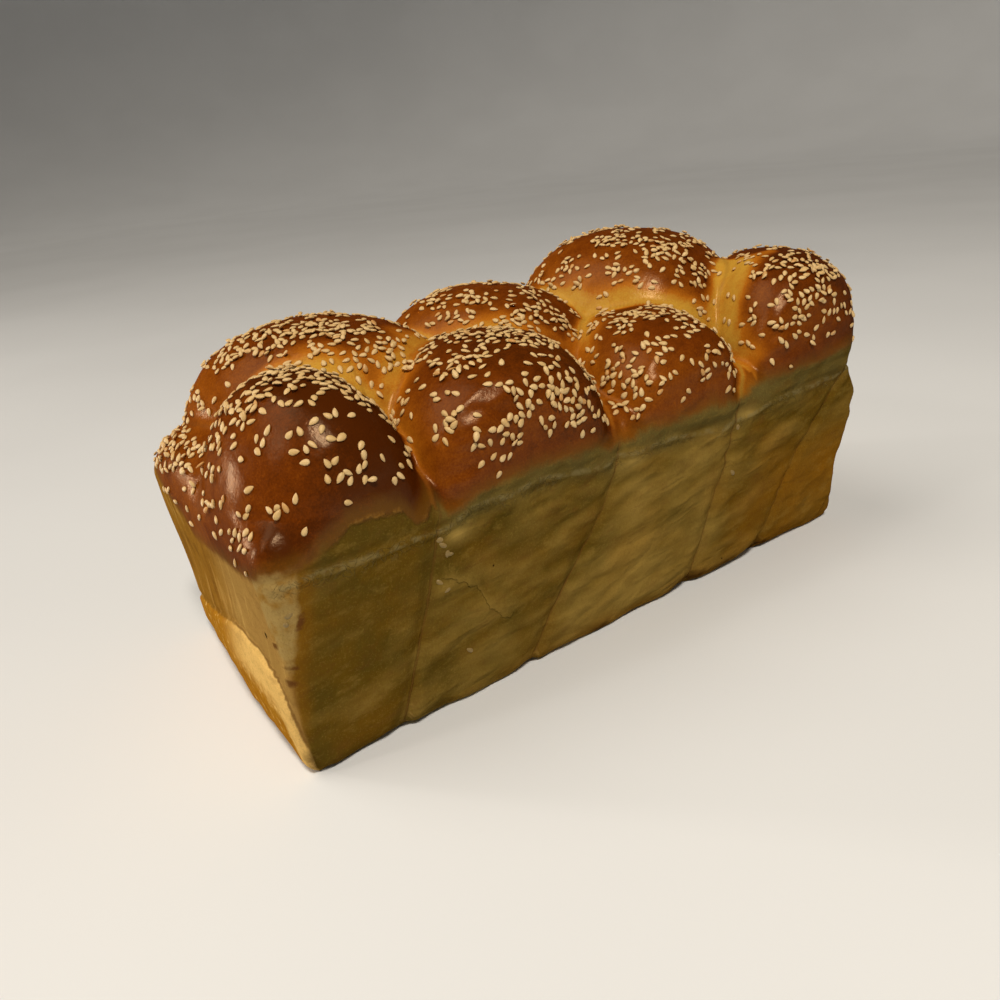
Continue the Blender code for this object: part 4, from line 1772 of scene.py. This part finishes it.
@dataclass
class Sesame:
    """All the sesame seeds, as one joined mesh of seeds at true size lying on the crust."""

    form: LoafForm
    finish: SesameFinish
    length: float = 0.0027
    width: float = 0.00165
    thickness: float = 0.0008
    sunk: float = 0.00015
    around: int = 8
    rows: int = 5
    count: int = 2350
    companions: float = 0.28
    apart: float = 0.0016
    lift_over: float = 0.0020
    lift: float = 0.0006
    beside: tuple[float, float] = (0.0018, 0.0032)
    recent: int = 400
    draws_each: int = 8
    scatter: float = 0.0004
    lowest: float = 0.001
    full_above: float = 0.014
    tilt: float = 7.0
    lifted_tilt: float = 2.2
    uneven_shape: float = 0.06
    uneven_size: float = 0.05
    toasted_share: float = 0.05
    toasted_least: float = 0.4
    pressed_lift: float = -0.00042
    random_seed: int = 5
    patches: tuple[Patch, ...] = (
        Patch(-0.027, -0.024, 0.101, 0.007, 8.0),
        Patch(-0.035, -0.023, 0.101, 0.006, 6.0),
        Patch(-0.022, -0.033, 0.100, 0.006, 8.0),
        Patch(-0.023, -0.051, 0.092, 0.006, 8.0),
        Patch(-0.031, -0.053, 0.090, 0.005, 8.0),
        Patch(-0.020, -0.053, 0.085, 0.005, 8.0),
        Patch(0.004, -0.030, 0.083, 0.004, 6.0),
        Patch(-0.039, -0.050, 0.093, 0.004, 7.0),
        Patch(-0.037, -0.053, 0.088, 0.004, 6.0),
        Patch(-0.042, -0.053, 0.082, 0.004, 7.0),
        Patch(-0.058, -0.046, 0.085, 0.004, 6.0),
        Patch(-0.053, -0.051, 0.083, 0.004, 4.0),
        Patch(-0.046, -0.034, 0.097, 0.005, 4.0),
        Patch(-0.041, -0.040, 0.098, 0.004, 4.0),
        Patch(0.010, -0.038, 0.086, 0.006, 7.0),
        Patch(0.009, -0.046, 0.081, 0.005, 6.0),
        Patch(0.004, -0.044, 0.075, 0.005, 7.0),
        Patch(0.005, -0.050, 0.070, 0.005, 6.0),
        Patch(0.007, -0.036, 0.082, 0.004, 6.0),
        Patch(0.030, -0.024, 0.096, 0.006, 6.0),
        Patch(0.036, -0.031, 0.096, 0.006, 6.0),
        Patch(0.037, -0.041, 0.094, 0.006, 4.0),
        Patch(0.023, -0.025, 0.095, 0.005, 5.0),
        Patch(0.029, -0.052, 0.084, 0.004, 4.0),
        Patch(0.046, -0.052, 0.076, 0.004, 4.0),
        Patch(0.068, -0.010, 0.108, 0.006, 7.0),
        Patch(0.070, -0.016, 0.103, 0.006, 7.0),
        Patch(0.064, -0.006, 0.111, 0.006, 7.0),
        Patch(0.061, 0.004, 0.115, 0.007, 6.0),
        Patch(0.057, 0.016, 0.116, 0.006, 5.0),
        Patch(0.040, 0.021, 0.109, 0.005, 5.0),
        Patch(0.036, 0.024, 0.105, 0.005, 5.0),
        Patch(0.051, -0.014, 0.097, 0.004, 5.0),
        Patch(0.009, 0.001, 0.102, 0.007, 7.0),
        Patch(-0.001, -0.002, 0.100, 0.006, 7.0),
        Patch(-0.007, 0.015, 0.104, 0.007, 4.0),
        Patch(-0.013, 0.022, 0.104, 0.006, 4.0),
        Patch(0.014, -0.006, 0.097, 0.006, 6.0),
        Patch(-0.016, 0.031, 0.103, 0.006, 4.0),
        Patch(0.089, -0.045, 0.104, 0.006, 9.0),
        Patch(0.095, -0.049, 0.102, 0.006, 9.0),
        Patch(0.085, -0.051, 0.098, 0.006, 8.0),
        Patch(0.080, -0.052, 0.093, 0.005, 7.0),
        Patch(0.096, -0.052, 0.099, 0.006, 8.0),
        Patch(0.088, -0.040, 0.106, 0.006, 5.0),
        Patch(0.080, -0.038, 0.103, 0.004, 4.0),
        Patch(0.068, -0.042, 0.087, 0.004, 4.0),
        Patch(-0.068, 0.012, 0.106, 0.008, 7.0),
        Patch(-0.080, 0.013, 0.104, 0.008, 5.0),
        Patch(-0.054, -0.006, 0.099, 0.007, 7.0),
        Patch(-0.050, -0.010, 0.094, 0.006, 7.0),
        Patch(-0.062, 0.003, 0.104, 0.007, 6.0),
        Patch(-0.091, 0.026, 0.102, 0.008, 3.0),
        Patch(-0.088, -0.019, 0.103, 0.007, 9.0),
        Patch(-0.099, -0.027, 0.102, 0.006, 8.0),
        Patch(-0.083, -0.028, 0.102, 0.006, 9.0),
        Patch(-0.076, -0.034, 0.100, 0.006, 8.0),
        Patch(-0.075, -0.042, 0.097, 0.005, 7.0),
        Patch(-0.107, -0.024, 0.099, 0.006, 6.0),
        Patch(-0.096, -0.050, 0.093, 0.004, 5.0),
        Patch(-0.089, -0.051, 0.093, 0.004, 5.0),
        Patch(-0.079, -0.050, 0.092, 0.004, 5.0),
        Patch(-0.089, -0.053, 0.086, 0.005, 5.0),
        Patch(-0.097, -0.053, 0.087, 0.004, 4.0),
        Patch(-0.111, 0.031, 0.081, 0.008, 9.0),
        Patch(-0.117, 0.030, 0.078, 0.008, 9.0),
        Patch(-0.112, -0.012, 0.094, 0.007, 9.0),
        Patch(-0.115, 0.010, 0.078, 0.006, 6.0),
        Patch(0.058, -0.046, 0.072, 0.009, -0.95),
        Patch(-0.070, 0.040, 0.100, 0.012, 3.0),
        Patch(0.010, 0.038, 0.100, 0.012, 3.0),
        Patch(0.070, 0.036, 0.110, 0.012, 3.0),
    )
    pressed_in: tuple[tuple[float, float], ...] = (
        (-0.0686, 0.0571),
        (-0.0667, 0.0521),
        (-0.0655, 0.0517),
        (-0.0681, 0.0553),
        (-0.0704, 0.0448),
        (-0.0679, 0.0413),
        (-0.0629, 0.0182),
        (-0.1128, 0.0524),
        (-0.1145, 0.0498),
        (0.0500, 0.0400),
        (0.0520, 0.0560),
    )

    def surface(self) -> tuple[Array, Array, Array]:
        """One seed along X, blunt at its start and pointed at its end.

        Its half-width at a share t of its length is the root of t times (1 - t) to the power of
        0.8, scaled to be 1 at its widest. Its cross-section is an ellipse.

        Returns:
            Its points, its faces as triangles, and how near its edge or tip each point is.
        """
        turn = np.linspace(0.0, 2.0 * math.pi, self.around, endpoint=False)
        share = (1.0 - np.cos(np.linspace(0.0, math.pi, self.rows + 2)[1:-1])) / 2
        wide = np.sqrt(share) * (1.0 - share) ** 0.8
        widest = 0.5 / 1.3
        wide /= math.sqrt(widest) * (1.0 - widest) ** 0.8
        x = np.repeat((share - 0.45)[:, None], self.around, axis=1) * self.length
        y = wide[:, None] * np.cos(turn) * self.width / 2
        z = wide[:, None] * np.sin(turn) * self.thickness / 2
        ends = np.array([[-0.45 * self.length, 0.0, 0.0], [0.55 * self.length, 0.0, 0.0]])
        points = np.concatenate((np.stack((x, y, z), axis=-1).reshape(-1, 3), ends))
        low = np.arange((self.rows - 1) * self.around).reshape(-1, self.around)
        right = np.roll(low, -1, axis=1)
        up = self.around
        sides = np.concatenate(
            (
                np.stack((low, low + up, right + up), axis=-1).reshape(-1, 3),
                np.stack((low, right + up, right), axis=-1).reshape(-1, 3),
            )
        )
        first = np.arange(self.around)
        last = first + (self.rows - 1) * self.around
        blunt = np.full(self.around, len(points) - 2)
        point = np.full(self.around, len(points) - 1)
        caps = np.concatenate(
            (
                np.stack((blunt, first, np.roll(first, -1)), axis=-1),
                np.stack((point, np.roll(last, -1), last), axis=-1),
            )
        )
        tip = np.repeat(share, self.around) ** 3
        rim = np.tile(np.abs(np.cos(turn)) ** 3, self.rows)
        edge = np.concatenate((np.maximum(tip, rim), (0.6, 1.0)))
        return points, np.concatenate((sides, caps)), edge

    def crowding(self, placing: Placing) -> Array:
        """How thickly the crust is sown: evenly on the crowns, more in each patch, none below.

        Args:
            placing: the crust's points.

        Returns:
            A weight for each point, 1 where it is sown evenly.
        """
        dense = np.ones(len(placing.points))
        for patch in self.patches:
            away = np.linalg.norm(placing.points - (patch.x, patch.y, patch.z), axis=1)
            dense += patch.crowding * np.exp(-((away / patch.reach) ** 3))
        out_of_crease = 0.15 + 0.85 * eased(placing.gap, 0.0, 0.006)
        return dense * out_of_crease * eased(placing.above_border, self.lowest, self.full_above)

    def sown(
        self, tree: BVHTree, placing: Placing, quads: Array, rng: np.random.Generator
    ) -> list[Seed]:
        """Where the seeds lie: drawn by crowding, some of them beside one that lies already.

        Args:
            tree: the crust, to find the nearest place on it.
            placing: the crust's points.
            quads: the crust's cells.
            rng: the random draws.

        Returns:
            For each seed its place, the crust's normal there and how far it is lifted.
        """
        corners = placing.points[quads]
        crossed = np.cross(corners[:, 2] - corners[:, 0], corners[:, 3] - corners[:, 1])
        area = np.linalg.norm(crossed, axis=1)
        weight = area * self.crowding(placing)[quads].mean(axis=1)
        drawn = rng.choice(len(quads), size=self.draws_each * self.count, p=weight / weight.sum())
        spots = corners[drawn].mean(axis=1) + rng.normal(scale=self.scatter, size=(len(drawn), 3))
        placed = np.empty((self.count, 3))
        seeds: list[Seed] = []
        for number, spot in enumerate(spots):
            if len(seeds) == self.count:
                break
            if seeds and rng.random() < self.companions:
                mate = placed[rng.integers(max(0, len(seeds) - self.recent), len(seeds))]
                turn = rng.uniform(0.0, 2.0 * math.pi)
                way = np.array((math.cos(turn), math.sin(turn), 0.0))
                spot = mate + rng.uniform(*self.beside) * way
            place, normal, face, _ = tree.find_nearest(Vector(spot))
            if placing.above_border[quads[min(face, len(quads) - 1)][0]] < self.lowest:
                continue
            away = np.linalg.norm(placed[: len(seeds)] - place, axis=1).min(initial=1.0)
            if away < self.apart:
                continue
            placed[len(seeds)] = place
            seeds.append((place, normal, self.lift if away < self.lift_over else 0.0))
        log.info("%d seeds from %d draws", len(seeds), number + 1)
        return seeds

    def survey(self, loaf: bpy.types.Object) -> tuple[BVHTree, Placing, Array]:
        """What the seeds need to know of the crust, about the tin's middle.

        Args:
            loaf: the crust's object, whose points lie about the base's middle.

        Returns:
            A tree that finds the nearest place on it, its Placing and its cells.
        """
        points = np.empty(len(loaf.data.vertices) * 3, np.float32)
        loaf.data.vertices.foreach_get("co", points)
        points = points.reshape(-1, 3).astype(np.float64)
        points[:, :2] -= self.form.tin.middle
        quads = BoxGrid.over(self.form.tin).quads()
        placing = Survey(self.form).placing(points, self.form.outward(points))
        tree = BVHTree.FromPolygons([Vector(point) for point in points], quads.tolist())
        return tree, placing, quads

    def laid(self, seeds: list[Seed], points: Array, rng: np.random.Generator) -> Array:
        """Lays each seed on the crust, turned at random, a little tilted and a little uneven.

        Args:
            seeds: for each its place, the crust's normal there and how far it is lifted.
            points: one seed's points.
            rng: the random draws.

        Returns:
            The points of every seed, one seed after another.
        """
        total = len(seeds)
        turns = rng.uniform(0.0, 2.0 * math.pi, total)
        tilts = rng.normal(scale=math.radians(self.tilt), size=(total, 2))
        matrices = np.empty((total, 3, 3))
        places = np.empty((total, 3))
        for number, (place, normal, lift) in enumerate(seeds):
            loose = self.lifted_tilt if lift > 0.0 else 1.0
            lying = normal.to_track_quat("Z", "X").to_matrix() @ Matrix.Rotation(turns[number], 3, "Z")
            lying = lying @ Matrix.Rotation(loose * tilts[number, 0], 3, "X")
            lying = lying @ Matrix.Rotation(loose * tilts[number, 1], 3, "Y")
            matrices[number] = np.array(lying)
            places[number] = place + normal * (self.thickness / 2 - self.sunk + lift)
        scales = rng.normal(1.0, self.uneven_shape, size=(total, 1, 3))
        scales = scales * rng.normal(1.0, self.uneven_size, size=(total, 1, 1))
        joined = np.einsum("nij,nvj->nvi", matrices, points[None] * scales) + places[:, None]
        joined[..., :2] += self.form.tin.middle
        return joined.reshape(-1, 3)

    def build(self, loaf: bpy.types.Object) -> bpy.types.Object:
        """Sows the seeds on the loaf and joins them into one mesh.

        Args:
            loaf: the crust's object.

        Returns:
            The seeds' object.
        """
        rng = np.random.default_rng(self.random_seed)
        tree, placing, quads = self.survey(loaf)
        seeds = self.sown(tree, placing, quads, rng)
        pressed = [0.0] * len(seeds) + [1.0] * len(self.pressed_in)
        for x, z in self.pressed_in:
            place, normal, _, _ = tree.find_nearest(Vector((x, -self.form.tin.width / 2, z)))
            seeds.append((place, normal, self.pressed_lift))
        total = len(seeds)
        log.info("%d seeds in all", total)
        points, faces, edge = self.surface()
        joined = self.laid(seeds, points, rng)
        numbers = faces[None] + (np.arange(total) * len(points))[:, None, None]
        is_toasted = rng.random(total) < self.toasted_share
        toasted = np.where(is_toasted, rng.uniform(self.toasted_least, 1.0, total), 0.0)
        shares = {
            "tone": np.repeat(rng.random(total), len(points)),
            "toasted": np.repeat(toasted, len(points)),
            "pressed": np.repeat(pressed, len(points)),
            "edge": np.tile(edge, total),
        }
        triangles = numbers.reshape(-1, 3).tolist()
        return modelled("sesame_seeds", joined, triangles, self.finish.material(), shares)


@dataclass(frozen=True)
class SoftLight:
    """A soft square light that faces the loaf: where it hangs, its side and its power in watts."""

    name: str
    place: tuple[float, float, float]
    side: float
    power: float
    colour: Colour = (1.00, 0.90, 0.78)

    AIM = (0.0, 0.0, 0.05)

    def hang(self) -> None:
        """Puts the light in the scene."""
        lamp = bpy.data.lights.new(self.name, "AREA")
        lamp.size = self.side
        lamp.energy = self.power
        lamp.color = self.colour
        hung = bpy.data.objects.new(self.name, lamp)
        aim = Vector(self.AIM) - Vector(self.place)
        hung.rotation_euler = aim.to_track_quat("-Z", "Y").to_euler()
        hung.location = self.place
        bpy.context.scene.collection.objects.link(hung)


@dataclass
class Studio:
    """The pale floor, the soft lights and the camera."""

    tin: Tin
    floor_reach: float = 3.0
    floor_sides: int = 96
    sweep_radius: float = 1.4
    sweep_rows: int = 24
    floor_colour: Colour = (0.76, 0.79, 0.83)
    lights: tuple[SoftLight, ...] = (
        SoftLight("window", (-1.02, 0.13, 0.80), 0.10, 1.1),
        SoftLight("gleam", (-0.92, 0.82, 0.15), 0.12, 5.6),
        SoftLight("lamp", (-0.26, -0.56, 1.05), 0.20, 10.5, (1.00, 0.90, 0.76)),
    )
    ambient: Colour = (1.00, 0.90, 0.76)
    ambient_strength: float = 0.09
    sky_strength: float = 0.95
    sky_breadth: float = 40.0
    sky_way: tuple[float, float, float] = (-0.45, 0.35, 0.85)
    camera_place: tuple[float, float, float] = (-0.15473, -0.21812, 0.15268)
    camera_azimuth: float = -32.576
    camera_elevation: float = 24.519
    camera_roll: float = -5.593
    lens: float = 28.08

    def floor(self) -> None:
        """A wide pale floor that the loaf stands on, curving up a long way off, all round it.

        Its profile runs level, then round a quarter of a circle, and is turned about the middle.
        """
        paint = Painter("pale_floor")
        clouds = paint.rise(paint.noise(0.30, 2.0), 0.3, 0.7)
        shade = tuple(0.96 * part for part in self.floor_colour)
        rise = np.linspace(0.0, math.pi / 2, self.sweep_rows)
        radii = self.floor_reach + self.sweep_radius * np.sin(rise)
        heights = self.sweep_radius * (1.0 - np.cos(rise))
        turn = np.linspace(0.0, 2.0 * math.pi, self.floor_sides, endpoint=False)
        around = np.stack((np.cos(turn), np.sin(turn)), axis=-1)
        rings = radii[:, None, None] * around
        level = np.broadcast_to(heights[:, None, None], (*rings.shape[:2], 1))
        points = np.concatenate((rings, level), axis=-1).reshape(-1, 3)
        low = np.arange((len(radii) - 1) * self.floor_sides).reshape(-1, self.floor_sides)
        right = np.roll(low, -1, axis=1)
        up = self.floor_sides
        faces = np.stack((low, right, right + up, low + up), axis=-1).reshape(-1, 4)[:, ::-1]
        middle = list(range(self.floor_sides))
        colour = paint.mixed(self.floor_colour, shade, clouds)
        material = paint.dress({"Base Color": colour, "Roughness": 0.85})
        modelled("floor", points, [*faces.tolist(), middle], material, {})

    def sky(self) -> None:
        """A broad soft light from high up, that lights the whole floor alike."""
        lamp = bpy.data.lights.new("sky", "SUN")
        lamp.energy = self.sky_strength
        lamp.angle = math.radians(self.sky_breadth)
        lamp.color = self.ambient
        hung = bpy.data.objects.new("sky", lamp)
        hung.rotation_euler = Vector(self.sky_way).to_track_quat("Z", "Y").to_euler()
        bpy.context.scene.collection.objects.link(hung)

    def camera(self) -> None:
        """The camera, where the photograph was taken from."""
        azimuth = math.radians(self.camera_azimuth)
        elevation = math.radians(self.camera_elevation)
        flat = math.cos(elevation)
        back = Vector((math.sin(azimuth) * flat, -math.cos(azimuth) * flat, math.sin(elevation)))
        level = (-back).cross(Vector((0.0, 0.0, 1.0))).normalized()
        turned = Matrix((level, level.cross(-back), back)).transposed()
        turned = turned @ Matrix.Rotation(math.radians(self.camera_roll), 3, "Z")
        data = bpy.data.cameras.new("camera")
        data.lens = self.lens
        data.clip_start = 0.01
        camera = bpy.data.objects.new("camera", data)
        place = Vector(self.camera_place) + Vector((*self.tin.middle, 0.0))
        camera.matrix_world = Matrix.Translation(place) @ turned.to_4x4()
        bpy.context.scene.collection.objects.link(camera)
        bpy.context.scene.camera = camera

    def build(self) -> None:
        """Sets up the floor, the lights, the air's own light and the camera."""
        self.floor()
        for light in self.lights:
            light.hang()
        self.sky()
        world = bpy.data.worlds.new("studio")
        world.use_nodes = True
        sky = world.node_tree.nodes["Background"]
        sky.inputs["Color"].default_value = (*self.ambient, 1.0)
        sky.inputs["Strength"].default_value = self.ambient_strength
        bpy.context.scene.world = world
        bpy.context.scene.view_settings.view_transform = "Standard"
        self.camera()


def main() -> None:
    """Builds the loaf and its seeds in order, and reports each piece."""
    logging.basicConfig(level=logging.INFO, format="%(message)s")
    form = LoafForm()
    Studio(form.tin).build()

    loaf = Crust(form, CrustFinish()).build()
    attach(loaf, "root")
    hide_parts("challah")
    log.info("crust: %d points, %d faces", len(loaf.data.vertices), len(loaf.data.polygons))

    seeds = Sesame(form, SesameFinish()).build(loaf)
    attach(seeds, "root")
    log.info("seeds: %d faces", len(seeds.data.polygons))


if __name__ == "__main__":
    main()
